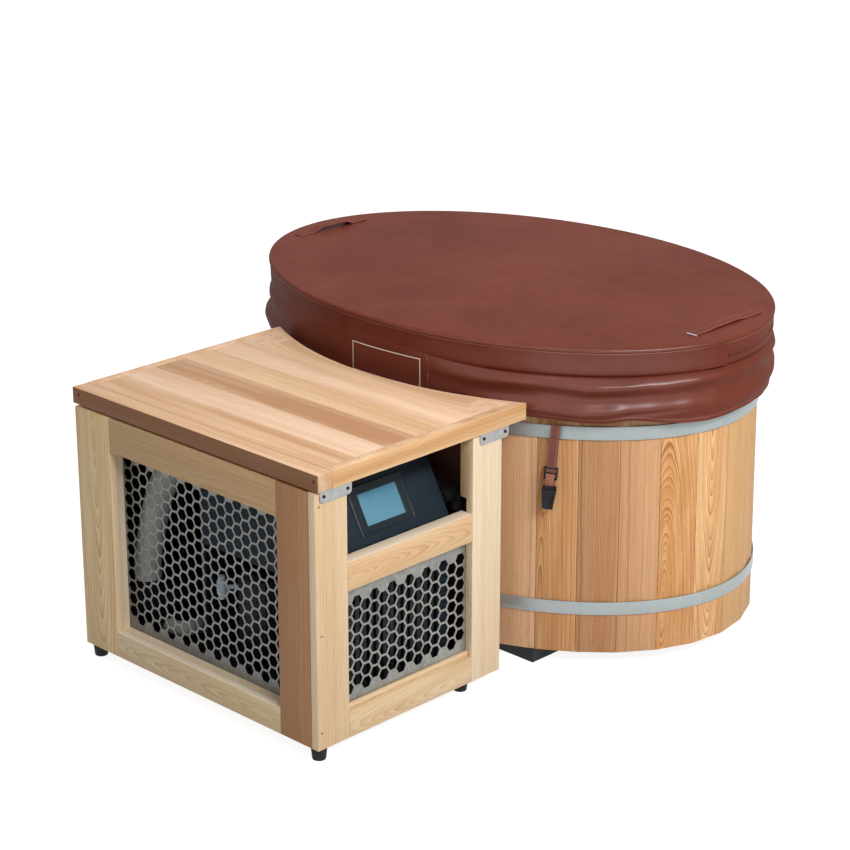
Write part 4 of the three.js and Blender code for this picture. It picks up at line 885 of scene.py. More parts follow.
# %% [markdown]
# ## The staves
# Thirty-eight staves stand round the oval, mitred so that their flat faces turn a little at each joint. All are of one
# width but the wider one toward the cabinet, which keeps its solid because the hoses' fittings go through it.
# A stave starts as a plane whose four corners are moved to its plan, is extruded to its height, and has its edges
# eased, which makes the fine dark joints. Each gets its own tint and pith: some are plain, some full of arches.

# %% Plan the oval
stave_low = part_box("stave_set_1")[0].z
stave_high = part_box("stave_set_1")[1].z
stave_count, stave_depth, stave_sets = 38, 0.038, 6
fitting_width = 0.100
tub_width, tub_length = 0.443, 0.634
turns = np.linspace(-math.pi, math.pi, 3601)
oval = np.stack([tub_width * np.cos(turns), tub_length * np.sin(turns)], axis=1)
run = np.concatenate([[0], np.cumsum(np.linalg.norm(np.diff(oval, axis=0), axis=1))])
step = (run[-1] - fitting_width) / (stave_count - 1)
joint_turns = np.interp(fitting_width / 2 + np.arange(stave_count) * step, run, turns)
outside = np.stack([tub_width * np.cos(joint_turns), tub_length * np.sin(joint_turns)], axis=1)


def moved_loop(loop, distance):
    """A loop with each side moved out, or in by a negative distance."""
    before, after = np.roll(loop, 1, axis=0), np.roll(loop, -1, axis=0)
    first, second = loop - before, after - loop
    first = np.stack([first[:, 1], -first[:, 0]], axis=1) / np.linalg.norm(first, axis=1)[:, None]
    second = np.stack([second[:, 1], -second[:, 0]], axis=1) / np.linalg.norm(second, axis=1)[:, None]
    middle = first + second
    middle /= np.linalg.norm(middle, axis=1)[:, None]
    return loop + middle * (distance / (middle * first).sum(1))[:, None]


inside = moved_loop(outside, -stave_depth)
foot_flare = 0.008


def lean(level):
    """How far the tub's outer side stands out at a level; the staves lean out toward the foot."""
    return foot_flare * (stave_high - level) / (stave_high - stave_low)


print("stave width:", round(step, 4))

# %% Raise the staves
figured = {
    3: ((1.15, 1.25, 1.44), (0.20, 0.05), 0.0, 1.0, 0.6),
    4: ((1.13, 1.13, 1.08), (0.03, 0.02), 0.03, 2.1, 1.5),
    5: ((0.84, 0.785, 0.77), (-0.16, 0.03), 0.0, 1.2, 0.95),
    6: ((1.0, 0.98, 1.01), (0.22, 0.03), 0.0, 1.2, 0.7),
    7: ((1.24, 1.22, 1.1), (0.030, 0.034), 0.12, 2.0, 1.5),
    8: ((1.38, 1.52, 1.56), (0.0, 0.026), -0.09, 1.9, 1.45),
    9: ((1.06, 1.10, 0.98), (-0.15, 0.05), 0.0, 1.2, 0.5),
    10: ((1.02, 1.02, 0.88), (0.16, 0.05), 0.0, 1.2, 0.5),
}
chooser = np.random.default_rng(11)


def make_stave(number):
    """One stave between two joints of the oval."""
    after = (number + 1) % stave_count
    plan = [outside[number], outside[after], inside[after], inside[number]]
    face = (plan[1] - plan[0]) / np.linalg.norm(plan[1] - plan[0])
    plan[0], plan[1] = plan[0] + face * 0.0003, plan[1] - face * 0.0003
    plan[3], plan[2] = plan[3] + face * 0.0003, plan[2] - face * 0.0003
    clear()
    bpy.ops.mesh.primitive_plane_add(size=1)
    stave = named("stave")
    loop = [stave.data.loops[i].vertex_index for i in stave.data.polygons[0].loop_indices]
    for index, (x, y) in zip(loop, plan):
        stave.data.vertices[index].co = (tub.x + x, tub.y + y, stave_low)
    edit(stave)
    bpy.ops.mesh.select_all(action="SELECT")
    bpy.ops.mesh.extrude_region_move(TRANSFORM_OT_translate={"value": (0, 0, stave_high - stave_low)})
    bpy.ops.mesh.select_all(action="SELECT")
    bpy.ops.mesh.normals_make_consistent(inside=False)
    bpy.ops.mesh.bevel(offset=0.0012, segments=2, affect="EDGES")
    done()
    shade = chooser.uniform(0.9, 1.08)
    warmth = chooser.uniform(-0.05, 0.05)
    pith = (chooser.uniform(0.03, 0.2) * chooser.choice([-1, 1]), chooser.uniform(0.01, 0.06))
    tint = (shade, shade * (1 - warmth / 2), shade * (1 - warmth))
    drawn = (tint, pith, chooser.uniform(-0.06, 0.06), chooser.uniform(1.0, 1.7), chooser.uniform(0.4, 0.9))
    tint, pith, tilt, fine, figure = figured.get(number, drawn)
    local = points_of(stave) - np.array([tub.x, tub.y, 0])
    centre = (plan[0] + plan[1]) / 2
    normal = np.array([face[1], -face[0]])
    outer = np.clip(1 + (local[:, :2] - centre) @ normal / stave_depth, 0, 1)
    local[:, :2] *= 1 + (outer * lean(local[:, 2]))[:, None] / np.array([tub_width, tub_length])
    move_points(stave, local + np.array([tub.x, tub.y, 0]))
    beside = (local[:, :2] - centre) @ face
    below = -(local[:, :2] - centre) @ normal
    beside = fine * (beside + pith[0])
    below = fine * (below + pith[1] + tilt * (local[:, 2] - (stave_low + stave_high) / 2))
    grain = np.stack([local[:, 2] + 2.3 * number, beside, below], axis=1)
    keep(stave, "grain_place", "FLOAT_VECTOR", "vector", grain)
    keep(stave, "board_tint", "FLOAT_COLOR", "color", np.tile((*tint, figure), (len(local), 1)))
    return stave


starts = [math.floor(number * (stave_count - 1) / stave_sets + 0.5) for number in range(stave_sets + 1)]
for number, (first, last) in enumerate(zip(starts, starts[1:]), 1):
    row = join_pieces([make_stave(i) for i in range(first, last)], f"staves_{number}")
    settle(row, stave_cedar, "base", "stave_cedar", f"stave_set_{number}")
print("staves:", starts[-1])

# %% [markdown]
# ## The hoops
# Two galvanised bands are driven over the staves and touch them at the joints, so they run as smooth ovals. Each is a
# circle that is extruded to the band's height, stretched to the oval and made solid outward, with its edges eased.

# %% Drive on the hoops
band_thickness = 0.0022
for node in ("upper_hoop", "lower_hoop"):
    low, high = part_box(node)
    clear()
    bpy.ops.mesh.primitive_circle_add(vertices=300, radius=1, location=(0, 0, 0))
    hoop = named("band_" + node)
    edit(hoop, "VERT")
    bpy.ops.mesh.select_all(action="SELECT")
    bpy.ops.mesh.extrude_region_move(TRANSFORM_OT_translate={"value": (0, 0, 1)})
    bpy.ops.mesh.select_all(action="SELECT")
    bpy.ops.mesh.normals_make_consistent(inside=False)
    done(60)
    places = points_of(hoop)
    places[:, 2] = np.where(places[:, 2] > 0.5, high.z, low.z)
    places[:, 0] = tub.x + (tub_width + lean(places[:, 2])) * places[:, 0]
    places[:, 1] = tub.y + (tub_length + lean(places[:, 2])) * places[:, 1]
    move_points(hoop, places)
    apply_modifier(hoop, "SOLIDIFY", thickness=band_thickness, offset=1)
    apply_modifier(hoop, "BEVEL", width=0.0005, segments=2, limit_method="ANGLE", angle_limit=math.radians(50))
    edit(hoop)
    done(40)
    settle(hoop, hoop_steel, "base", "hoop_steel", node)
print("hoops: 2")

# %% [markdown]
# ## The padded cover
# The cover is a foam core in a sewn vinyl case: flat on top, with a firm edge and a stitched seam just below it. An
# oval is filled with a grid of quads, its rim is extruded down through the seam's small groove to the foot, and the
# underside is filled. A short cloth simulation with a little air pressure then swells the top between its seams.

# %% Model the case
pad_low, pad_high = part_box("cover_pad")
half_x, half_y = (pad_high.x - pad_low.x) / 2, (pad_high.y - pad_low.y) / 2
pad_top = pad_low.z + 0.0605
centre = Vector((tub.x, tub.y, pad_top))
rim = [
    (-0.0050, 0.0), (-0.0016, -0.0014), (0.0, -0.0048), (0.0002, -0.0085), (-0.0016, -0.0098), (-0.0012, -0.0112),
    (-0.0022, -0.0165), (-0.0030, -0.0270), (-0.0034, -0.0380), (-0.0034, -0.0500), (-0.0050, -0.0600), (-0.0095, -0.0645),
    (-0.0200, -0.0635), (-0.0270, -0.0602),
]
clear()
bpy.ops.mesh.primitive_circle_add(vertices=240, radius=1, location=centre)
pad = named("cover_case")
edit(pad, "VERT")
bpy.ops.mesh.select_all(action="SELECT")
bpy.ops.transform.resize(value=(half_x + rim[0][0], half_y + rim[0][0], 1), center_override=centre)
bpy.ops.mesh.fill_grid(span=60)
bpy.ops.mesh.select_all(action="DESELECT")
bpy.ops.mesh.select_non_manifold(extend=False)
for (before, above), (out, level) in zip(rim, rim[1:]):
    bpy.ops.mesh.extrude_region_move(TRANSFORM_OT_translate={"value": (0, 0, level - above)})
    grow = ((half_x + out) / (half_x + before), (half_y + out) / (half_y + before), 1)
    bpy.ops.transform.resize(value=grow, center_override=centre)
bpy.ops.mesh.fill_grid(span=60)
bpy.ops.mesh.select_all(action="SELECT")
bpy.ops.mesh.normals_make_consistent(inside=False)
done(180)
print("case points:", len(pad.data.vertices))

# %% Swell the top
scene = bpy.context.scene
flat = points_of(pad)
share = ((flat[:, 0] - tub.x) / (half_x - 0.006)) ** 2 + ((flat[:, 1] - tub.y) / (half_y - 0.006)) ** 2
free = (flat[:, 2] > pad_top - 0.0005) & (share < 1)
sewn = pad.vertex_groups.new(name="sewn")
sewn.add([int(i) for i in np.flatnonzero(~free)], 1.0, "REPLACE")
crown = 0.0055
cloth = pad.modifiers.new("Cloth", "CLOTH")
cloth.settings.vertex_group_mass = "sewn"
cloth.settings.use_pressure = True
cloth.settings.uniform_pressure_force = 4
cloth.settings.effector_weights.gravity = 0
cloth.point_cache.frame_end = 20
for number in range(1, 21):
    scene.frame_set(number)
clear()
pad.select_set(True)
bpy.context.view_layer.objects.active = pad
bpy.ops.object.modifier_apply(modifier=cloth.name)
scene.frame_set(1)
moved = points_of(pad) - flat
most = np.linalg.norm(moved, axis=1).max()
print("cloth moved at most", round(float(most), 4))
move_points(pad, flat + moved * min(1.0, crown / max(most, 1e-6)))
print("case height:", round(float(points_of(pad)[:, 2].max()), 4))

# %% Finish the case
places = points_of(pad)
x, y = places[:, 0] - tub.x, places[:, 1] - tub.y
top = places[:, 2] > pad_top - 0.001
ripple = 0.0005 * np.sin(9.1 * x + 4.3 * y + 0.7) + 0.0004 * np.sin(-5.2 * x + 14.7 * y) + 0.0003 * np.sin(23 * x + 19 * y)
places[:, 2] += np.where(top, ripple * np.clip(4 * (1 - share), 0, 1), 0)
angle = np.arctan2(y / half_y, x / half_x)
reach = np.interp(angle, turns, run) * half_y / tub_length
side = ~top
lumps = 0.0008 * np.sin(17 * angle + 0.4) + 0.0006 * np.sin(29 * angle + 2.0)
band = np.clip(1 - np.abs((pad_top - 0.032 - places[:, 2]) / 0.022), 0, 1)
places[:, 0] += np.where(side, lumps * band * np.cos(angle), 0)
places[:, 1] += np.where(side, lumps * band * np.sin(angle), 0)
move_points(pad, places)
row = places[:, 2] - (pad_top - 0.0104)
row = np.where(top, 0.05, row)
keep(pad, "cloth_place", "FLOAT_VECTOR", "vector", np.stack([reach, row, np.full(len(row), 0.05)], axis=1))
apply_modifier(pad, "SUBSURF", levels=1, render_levels=1)
settle(pad, maroon_vinyl, "cover", "maroon_vinyl", "cover_pad")
print("case faces:", len(pad.data.polygons))

# %% [markdown]
# ## The skirt
# A long strip of the same vinyl is sewn under the pad and hangs over the rim. Toward the cabinet it is drawn tight;
# round the front it slumps into two long rolls with a hollow between them, and its hem rides up over the hoop. A
# simulation would fold it somewhere else each time, so the rolls are listed: tables along the oval say how
# high each roll lies and how far it stands out. Solidify then gives the vinyl its thickness.

# %% Describe the folds
hem_tuck = 0.004
roll_at = [
    -180, -166, -160, -154, -148, -142, -137, -133, -129, -125, -122, -119, -115, -110, -104, -98, -91, -81, -60, -30,
    0, 30, 60, 90, 108, 122, 135, 148, 160,
]
tables = {
    "slack": [
        0, 0.1, 0.6, 0.9, 1, 1, 1, 1, 1, 1, 1, 1, 1, 1, 1, 1, 1, 1, 1, 1,
        1, 1, 1, 1, 1, 1, 0.6, 0.2, 0,
    ],
    "upper_level": [
        664, 662, 657, 657, 660, 661, 660, 656, 655, 656, 657, 658, 660, 661, 663, 664, 664, 664, 664, 662,
        664, 662, 660, 658, 656, 654, 658, 662, 664,
    ],
    "upper_out": [
        0, 0, 3, 4, 5, 7, 8, 9, 9.5, 9, 9, 8.5, 8, 7.5, 7, 6, 6, 5, 5, 6,
        4, 6, 5, 5, 4, 3, 2, 0, 0,
    ],
    "lower_level": [
        618, 617, 614, 610, 607, 605, 603, 600, 599, 600, 602, 604, 606, 606, 604, 601, 600, 604, 614, 616,
        612, 616, 614, 612, 606, 600, 602, 612, 618,
    ],
    "lower_out": [
        0, 0, 2, 4, 6, 8, 9, 10, 10, 10, 9.5, 9, 9, 8, 8, 7, 6, 6, 6, 6,
        6, 6, 6, 7, 10, 13, 8, 2, 0,
    ],
    "tuck_level": [
        596, 596, 596, 596, 594, 592, 590, 590, 590, 594, 597, 599, 601, 602, 602, 600, 597, 598, 600, 600,
        600, 600, 600, 600, 600, 600, 600, 600, 596,
    ],
    "tuck_out": [
        0, 0, 0, 0, 0, 0, 0, 0, -1, -4, -5, -5, -4, -3.5, -2.5, -1, 0, 0, 0, 0,
        0, 0, 0, 0, 0, 0, 0, 0, 0,
    ],
    "hem_level": [
        584, 584, 584, 583, 583, 582, 580, 577, 575, 578, 585, 582, 576, 570, 566, 566, 570, 574, 574, 578,
        574, 579, 574, 576, 580, 584, 582, 583, 584,
    ],
    "hem_out": [
        -1, -1, -2, -3, -3, -3, -2, -1, 0, -2, -3, -1, 1, 2, 2, 2, 1, 1, 0, -2,
        0, -2, 0, 1, 4, 9, 5, 0, -1,
    ],
}


def smooth_table(label):
    """A table along the oval as a smooth curve that closes on itself."""
    fine = np.arange(-180, 180, 1.0)
    values = np.interp(fine, roll_at, tables[label], period=360)
    kernel = np.exp(-0.5 * (np.arange(-6, 7) / 1.8) ** 2)
    kernel /= kernel.sum()
    return fine, np.convolve(np.concatenate([values[-6:], values, values[:6]]), kernel, mode="valid")


curves = {label: smooth_table(label) for label in tables}


def curve(label, degrees):
    """The value of a table at angles in degrees."""
    fine, values = curves[label]
    return np.interp(degrees, fine, values, period=360)


def skirt_place(turn, share, lift=0.0):
    """Points of the skirt at an angle round the oval and a share of its drop, moved out by lift."""
    degrees = np.degrees(turn)
    slack = curve("slack", degrees)
    hem = curve("hem_level", degrees) / 1000
    start = 0.700 + slack * (0.6835 - 0.700)
    level = start + share * (hem - start)
    loose = np.interp(share, [0, 0.03, 0.06, 0.12, 0.2, 0.85, 1], [-0.018, -0.014, -0.0105, -0.0072, -0.005, -0.005, -hem_tuck])
    tight = np.interp(share, [0, 0.05, 0.9, 1], [-0.0044, -0.0029, -0.0032, -hem_tuck])
    out = tight + slack * (loose - tight)
    for roll, wide, more in (("upper", 0.016, 3.5), ("lower", 0.018, 3), ("tuck", 0.006, 0)):
        away = (level - curve(roll + "_level", degrees) / 1000) / wide
        out = out + (curve(roll + "_out", degrees) + more * slack) / 1000 * np.exp(-away * away)
    foot = np.clip((share - 0.6) / 0.4, 0, 1) ** 2
    out = out + foot * curve("hem_out", degrees) / 1000
    crease = 0.0011 * np.sin(31 * turn + 9 * share) * np.sin(13 * turn - 4 * share + 1.0)
    out = out + crease * np.clip(share / 0.2, 0, 1) * (0.15 + 0.85 * slack) + lift
    across, along = np.cos(turn) / half_x, np.sin(turn) / half_y
    length = np.hypot(across, along)
    px = tub.x + half_x * np.cos(turn) + out * across / length
    py = tub.y + half_y * np.sin(turn) + out * along / length
    return np.stack([px, py, level], axis=-1)


print("fold tables:", len(tables))

# %% Hang the skirt
skirt_rows = 30
clear()
bpy.ops.mesh.primitive_circle_add(vertices=300, radius=1, location=(0, 0, 0))
skirt = named("cover_skirt_cloth")
edit(skirt, "VERT")
bpy.ops.mesh.select_all(action="SELECT")
for number in range(skirt_rows):
    bpy.ops.mesh.extrude_region_move(TRANSFORM_OT_translate={"value": (0, 0, -1)})
done(180)
places = points_of(skirt)
turn = np.arctan2(places[:, 1], places[:, 0])
share = -places[:, 2] / skirt_rows
hung = skirt_place(turn, share)
move_points(skirt, hung)
reach = np.interp(turn, turns, run) * half_y / tub_length
hem_row = hung[:, 2] - curve("hem_level", np.degrees(turn)) / 1000 - 0.009
keep(skirt, "cloth_place", "FLOAT_VECTOR", "vector", np.stack([reach, hem_row, hem_row - 0.2], axis=1))
edit(skirt)
bpy.ops.mesh.select_all(action="SELECT")
bpy.ops.mesh.normals_make_consistent(inside=False)
done(180)
apply_modifier(skirt, "SOLIDIFY", thickness=0.002, offset=-1)
apply_modifier(skirt, "SUBSURF", levels=1, render_levels=1)
settle(skirt, maroon_vinyl, "cover", "maroon_vinyl", "cover_skirt")

# %% [markdown]
# ## Seams and patch on the cover
# Where the skirt's strip begins and ends there is an upright lapped seam, and beside it a sewn-on patch with a pale
# printed border. At the front end the case has a lapped joint and a zip, through which the foam core goes in. Each is
# a thin strip: a grid whose points are laid on the cloth, a fraction of a millimetre proud, and made solid.

# %% Lay strips on the cloth


def lay_strip(name, cuts, lay, thickness):
    """A grid laid by a function of two shares, then made solid outward from the cloth."""
    clear()
    bpy.ops.mesh.primitive_grid_add(x_subdivisions=cuts[0], y_subdivisions=cuts[1], size=1)
    strip = named(name)
    flat_places = points_of(strip)
    move_points(strip, lay(flat_places[:, 0] + 0.5, flat_places[:, 1] + 0.5))
    apply_modifier(strip, "SOLIDIFY", thickness=thickness, offset=0)
    edit(strip)
    bpy.ops.mesh.select_all(action="SELECT")
    bpy.ops.mesh.normals_make_consistent(inside=False)
    done(50)
    return strip


def skirt_share(turn, level):
    """The share of the drop at which the skirt reaches a level."""
    degrees = np.degrees(turn)
    hem = curve("hem_level", degrees) / 1000
    start = 0.700 + curve("slack", degrees) * (0.6835 - 0.700)
    return (start - level) / (start - hem)


def case_place(turn, level, lift):
    """Points on the upright side of the case."""
    across, along = np.cos(turn) / half_x, np.sin(turn) / half_y
    length = np.hypot(across, along)
    out = np.interp(level - pad_top, [v for _, v in rim[::-1]], [o for o, _ in rim[::-1]]) + lift
    px = tub.x + half_x * np.cos(turn) + out * across / length
    py = tub.y + half_y * np.sin(turn) + out * along / length
    return np.stack([px, py, level], axis=-1)


def sew(strip, along, first, second=None):
    """Marks a strip's stitch rows: distance along, and distance from one or two rows."""
    second = np.full(len(first), 0.05) if second is None else second
    keep(strip, "cloth_place", "FLOAT_VECTOR", "vector", np.stack([along, first, second], axis=1))


lap_turn = math.radians(-165.6)
lap = lay_strip(
    "skirt_lap", (4, 24),
    lambda u, v: skirt_place(lap_turn + (u - 0.5) * 0.009, 0.08 + 0.9 * v, 0.0006), 0.0010,
)
where = points_of(lap)
sew(lap, where[:, 2], (where[:, 0] - where[:, 0].mean()) * 2)
settle(lap, maroon_vinyl, "cover", "maroon_vinyl")
lap_end = math.radians(-95.6)
case_lap = lay_strip(
    "case_lap", (16, 12),
    lambda u, v: case_place(lap_end + (u - 1) * 0.16, pad_top - 0.0118 - 0.048 * v, 0.0044 * u - 0.0002), 0.0006,
)
where = points_of(case_lap)
sew(case_lap, where[:, 2], np.full(len(where), 0.05))
settle(case_lap, maroon_vinyl, "cover", "maroon_vinyl")
print("laps:", lap.name, case_lap.name)

# %% Set the zip into the case
zip_line = pad_top - 0.0405
zip_start, zip_end = math.radians(-95), math.radians(62)
zip_profile_up = np.array([0.0052, 0.0044, 0.0014, 0.0009, -0.0009, -0.0014, -0.0040, -0.0048])
zip_profile_out = np.array([0.0001, 0.0011, 0.0013, 0.0003, 0.0003, 0.0013, 0.0011, 0.0001])


def lay_zip(u, v):
    """The zip's two lips with the dark gap between them."""
    index = v * (len(zip_profile_up) - 1)
    up = np.interp(index, np.arange(len(zip_profile_up)), zip_profile_up)
    out = np.interp(index, np.arange(len(zip_profile_up)), zip_profile_out)
    return case_place(zip_start + u * (zip_end - zip_start), zip_line + up, out)


zipper = lay_strip("case_zip", (120, 7), lay_zip, 0.0003)
zipper.data.materials.append(maroon_vinyl)
zipper.data.materials.append(black_plastic)
for face in zipper.data.polygons:
    if abs(face.center.z - zip_line) < 0.0006:
        face.material_index = 1
where = points_of(zipper)
sew(zipper, np.full(len(where), 0.0), np.full(len(where), 0.05))
settle(zipper, None, "cover", "maroon_vinyl")
print("zip:", len(zipper.data.polygons), "faces")

# %% Sew on the patch
clear()
patch_size = (0.206, 0.072)
bpy.ops.mesh.primitive_plane_add(size=1, location=(0, 0, 0))
patch = named("cover_patch")
edit(patch)
bpy.ops.mesh.select_all(action="SELECT")
bpy.ops.transform.resize(value=(*patch_size, 1), center_override=(0, 0, 0))
bpy.ops.mesh.inset(thickness=0.0022, depth=0)
bpy.ops.mesh.inset(thickness=0.0027, depth=0)
bpy.ops.object.mode_set(mode="OBJECT")
patch.data.materials.append(maroon_vinyl)
patch.data.materials.append(pale_thread)
for face in patch.data.polygons:
    longest = max(abs(patch.data.vertices[i].co.x) for i in face.vertices)
    if abs(longest - (patch_size[0] / 2 - 0.0022)) < 1e-5:
        face.material_index = 1
edit(patch)
bpy.ops.mesh.select_all(action="SELECT")
bpy.ops.mesh.subdivide(number_cuts=7)
done(60)
places = points_of(patch)
patch_turn = math.radians(184.2)
spread = np.hypot(half_x * math.sin(patch_turn), half_y * math.cos(patch_turn))
turn = patch_turn + places[:, 0] / spread
turn = np.arctan2(np.sin(turn), np.cos(turn))
level = 0.643 + places[:, 1]
move_points(patch, skirt_place(turn, skirt_share(turn, level), 0.0009))
sew(patch, places[:, 0], np.full(len(places), 0.05))
apply_modifier(patch, "SOLIDIFY", thickness=0.0008, offset=0)
edit(patch)
bpy.ops.mesh.select_all(action="SELECT")
bpy.ops.mesh.normals_make_consistent(inside=False)
done(50)
settle(patch, None, "cover", "maroon_vinyl")
print("patch faces:", len(patch.data.polygons))

# %% [markdown]
# ## The grips
# Two flat straps of doubled vinyl are sewn across the cover's ends. The front one lies almost flat and the back one
# stands up in the middle, with a dark gap for the fingers. Each is a strip along a side profile, with stitch rows
# along both edges and a pale cut end where it is folded under.

# %% Sew on the grips


def make_grip(name, node, rise, sway, trim, pale_end):
    """A flat strap, sewn down at both ends and lifted between them; trim shortens its right end."""
    low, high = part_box(node)
    high = high - Vector((trim, 0, 0))
    middle_x, middle_y = (low.x + high.x) / 2, (low.y + high.y) / 2
    half, width = (high.x - low.x) / 2, high.y - low.y
    base = pad_top + 0.0012

    def lay(u, v):
        s = 2 * u - 1
        lifted = np.clip((0.61 - np.abs(s)) / 0.3, 0, 1)
        lifted = lifted * lifted * (3 - 2 * lifted)
        px = middle_x + s * half
        py = middle_y + (v - 0.5) * width + sway * np.sin(2.6 * s + 0.5)
        inside_share = np.clip(1 - ((px - tub.x) / half_x) ** 2 - ((py - tub.y) / half_y) ** 2, 0, 1)
        pz = base + crown * np.minimum(1, 1.2 * inside_share) + rise * lifted + 0.0004 * np.sin(9 * s)
        return np.stack([px, py, pz], axis=-1)

    grip = lay_strip(name, (64, 8), lay, 0.0026)
    apply_modifier(grip, "BEVEL", width=0.0006, segments=1, limit_method="ANGLE", angle_limit=math.radians(50))
    edit(grip)
    done(40)
    where = points_of(grip)
    away = np.abs(where[:, 1] - middle_y) - (width / 2 - 0.004)
    end = np.abs(np.abs(where[:, 0] - middle_x) - (half - 0.035))
    sew(grip, where[:, 0], away, np.where(end < 0.01, end, 0.05))
    grip.data.materials.append(maroon_vinyl)
    grip.data.materials.append(grip_lining)
    for face in grip.data.polygons:
        if pale_end and face.center.x < low.x + 0.0022:
            face.material_index = 1
    return settle(grip, None, "cover", "maroon_vinyl", node)


front_grip = make_grip("front_strap_grip", "front_grip", 0.0024, 0.0008, 0.013, True)
back_grip = make_grip("back_strap_grip", "back_grip", 0.0095, -0.002, 0.026, False)
print("grips:", front_grip.name, back_grip.name)

# %% [markdown]
# ## Tie-down strap and buckle
# A narrow strap hangs from the hem with a slide adjuster and one half of a side-release buckle. They are built at the
# origin, X pointing away from the tub and Z up, and then moved to the hem as one, a few degrees out of plumb. The
# strap is doubled through the adjuster, and its cut tail shows beside it.

# %% Find the strap's place
hinge = next(j for j in frame["joints"] if j["name"] == "strap_swing")
hem_point = Vector(hinge["pos_m"])
away_x = Vector((-hinge["axis"][1], hinge["axis"][0], 0)).normalized()
strap_frame = Matrix.Translation(hem_point) @ Matrix(
    ((away_x.x, -away_x.y, 0, 0), (away_x.y, away_x.x, 0, 0), (0, 0, 1, 0), (0, 0, 0, 1)),
) @ Matrix.Rotation(math.radians(-4.5), 4, "X")


def hang_from_hem(piece):
    """Moves a piece that was built at the origin to the strap's place."""
    piece.data.transform(strap_frame)
    piece.data.update()
    return piece


print("strap hangs at", [round(v, 3) for v in hem_point])

# %% Hang the strap


def strap_layer(name, top, bottom, width, depth, bow, taper=0.0):
    """One layer of strap, with a slight bow and a narrowing toward its foot."""
    def lay(u, v):
        z = top + (bottom - top) * v
        wide = width * (1 - taper * v)
        x = depth + bow * np.sin(math.pi * v) + 0.0006 * np.cos(math.pi * (u - 0.5))
        return np.stack([x, (u - 0.5) * wide, z], axis=-1)

    layer = lay_strip(name, (6, 40), lay, 0.0013)
    where = points_of(layer)
    sew(layer, where[:, 2], np.abs(where[:, 1]) - (width / 2 - 0.0028))
    return layer


strap_back = strap_layer("strap_layer", -0.001, -0.145, 0.021, -0.0008, 0.0004)
strap_front = strap_layer("strap_layer", -0.030, -0.145, 0.0205, 0.0009, 0.0012, 0.08)
strap = join_pieces([strap_back, strap_front], "tie_strap")
hang_from_hem(strap)
settle(strap, maroon_vinyl, "strap", "maroon_vinyl", "cover_strap")
tail = strap_layer("strap_tail", -0.111, -0.138, 0.0185, 0.0052, 0.0026)
hang_from_hem(tail)
settle(tail, tan_vinyl, "strap", "maroon_vinyl")
print("strap points:", len(strap.data.vertices))

# %% Make the slide adjuster
slider = add_box("slide_adjuster", (-0.0040, -0.0150, -0.1250), (0.0040, 0.0150, -0.0970))
pick(slider, lambda face: abs(face.normal.x) > 0.9)
bpy.ops.mesh.inset(thickness=0.0034, depth=0)
bpy.ops.mesh.bridge_edge_loops()
bpy.ops.mesh.select_all(action="SELECT")
bpy.ops.mesh.normals_make_consistent(inside=False)
bpy.ops.mesh.bevel(offset=0.0009, segments=2, affect="EDGES")
done()
bar = add_box("slide_bar", (-0.0012, -0.0145, -0.1135), (0.0052, 0.0145, -0.1085))
ease_edges(bar, 0.0014, 3)
slider = join_pieces([slider, bar], "slide_adjuster")
hang_from_hem(slider)
settle(slider, black_plastic, "strap", "black_plastic", "strap_slider")
print("adjuster faces:", len(slider.data.polygons))

# %% Make the buckle
body_top, body_low, neck_top = -0.1480, -0.1935, -0.1390
buckle = add_box("buckle_body", (-0.0065, -0.0160, body_low), (0.0065, 0.0160, body_top))
pick(buckle, lambda face: face.normal.z < -0.9)
bpy.ops.transform.resize(value=(0.72, 0.70, 1), center_override=(0, 0, body_low))
pick(buckle, lambda face: abs(face.normal.x) > 0.9)
bpy.ops.mesh.inset(thickness=0.0040, depth=0)
bpy.ops.mesh.inset(thickness=0.0018, depth=-0.0014)
bpy.ops.mesh.select_all(action="SELECT")
bpy.ops.mesh.bevel(offset=0.0008, segments=2, affect="EDGES")
done()
neck = add_box("buckle_neck", (-0.0045, -0.0125, body_top - 0.004), (0.0045, 0.0125, neck_top))
pick(neck, lambda face: abs(face.normal.x) > 0.9)
bpy.ops.mesh.inset(thickness=0.0030, depth=-0.0016)
bpy.ops.mesh.select_all(action="SELECT")
bpy.ops.mesh.bevel(offset=0.0007, segments=2, affect="EDGES")
done()
prongs = []
for side_sign in (-1, 1):
    edges_y = sorted((side_sign * 0.0128, side_sign * 0.0154))
    prong = add_box("buckle_prong", (-0.0038, edges_y[0], body_top - 0.006), (0.0038, edges_y[1], neck_top - 0.002))
    ease_edges(prong, 0.0010, 3)
    prongs.append(prong)
buckle = join_pieces([buckle, neck, *prongs], "buckle_half")
hang_from_hem(buckle)
settle(buckle, black_plastic, "strap", "black_plastic", "strap_buckle")
print("buckle faces:", len(buckle.data.polygons))

# %% [markdown]
# ## The display
# A touch display stands on the leaning control panel: a black glass frame whose left, right and bottom sides are
# pale as a painted highlight, and a lit blank screen. The frame is a slab whose front is inset and pushed back twice.
# The screen glows a little, because the panel lies in the lid's shade and the real one is lit from behind.

# %% Model the display
lean = math.radians(29)
panel_frame = Matrix.Translation(at(270, 57, 408.6)) @ Matrix.Rotation(-lean, 4, "X")
bezel = add_box("display_frame", (-0.0765, -0.0043, 0.018), (0.0765, -0.0003, 0.1205))
pick(bezel, lambda face: face.normal.y < -0.9)
bpy.ops.mesh.inset(thickness=0.0022, depth=0)
bpy.ops.mesh.inset(thickness=0.0012, depth=-0.0008)
bpy.ops.mesh.inset(thickness=0.0136, depth=0)
bpy.ops.mesh.inset(thickness=0.0008, depth=-0.0012)
bpy.ops.mesh.select_all(action="SELECT")
bpy.ops.mesh.bevel(offset=0.0003, segments=2, affect="EDGES")
done()
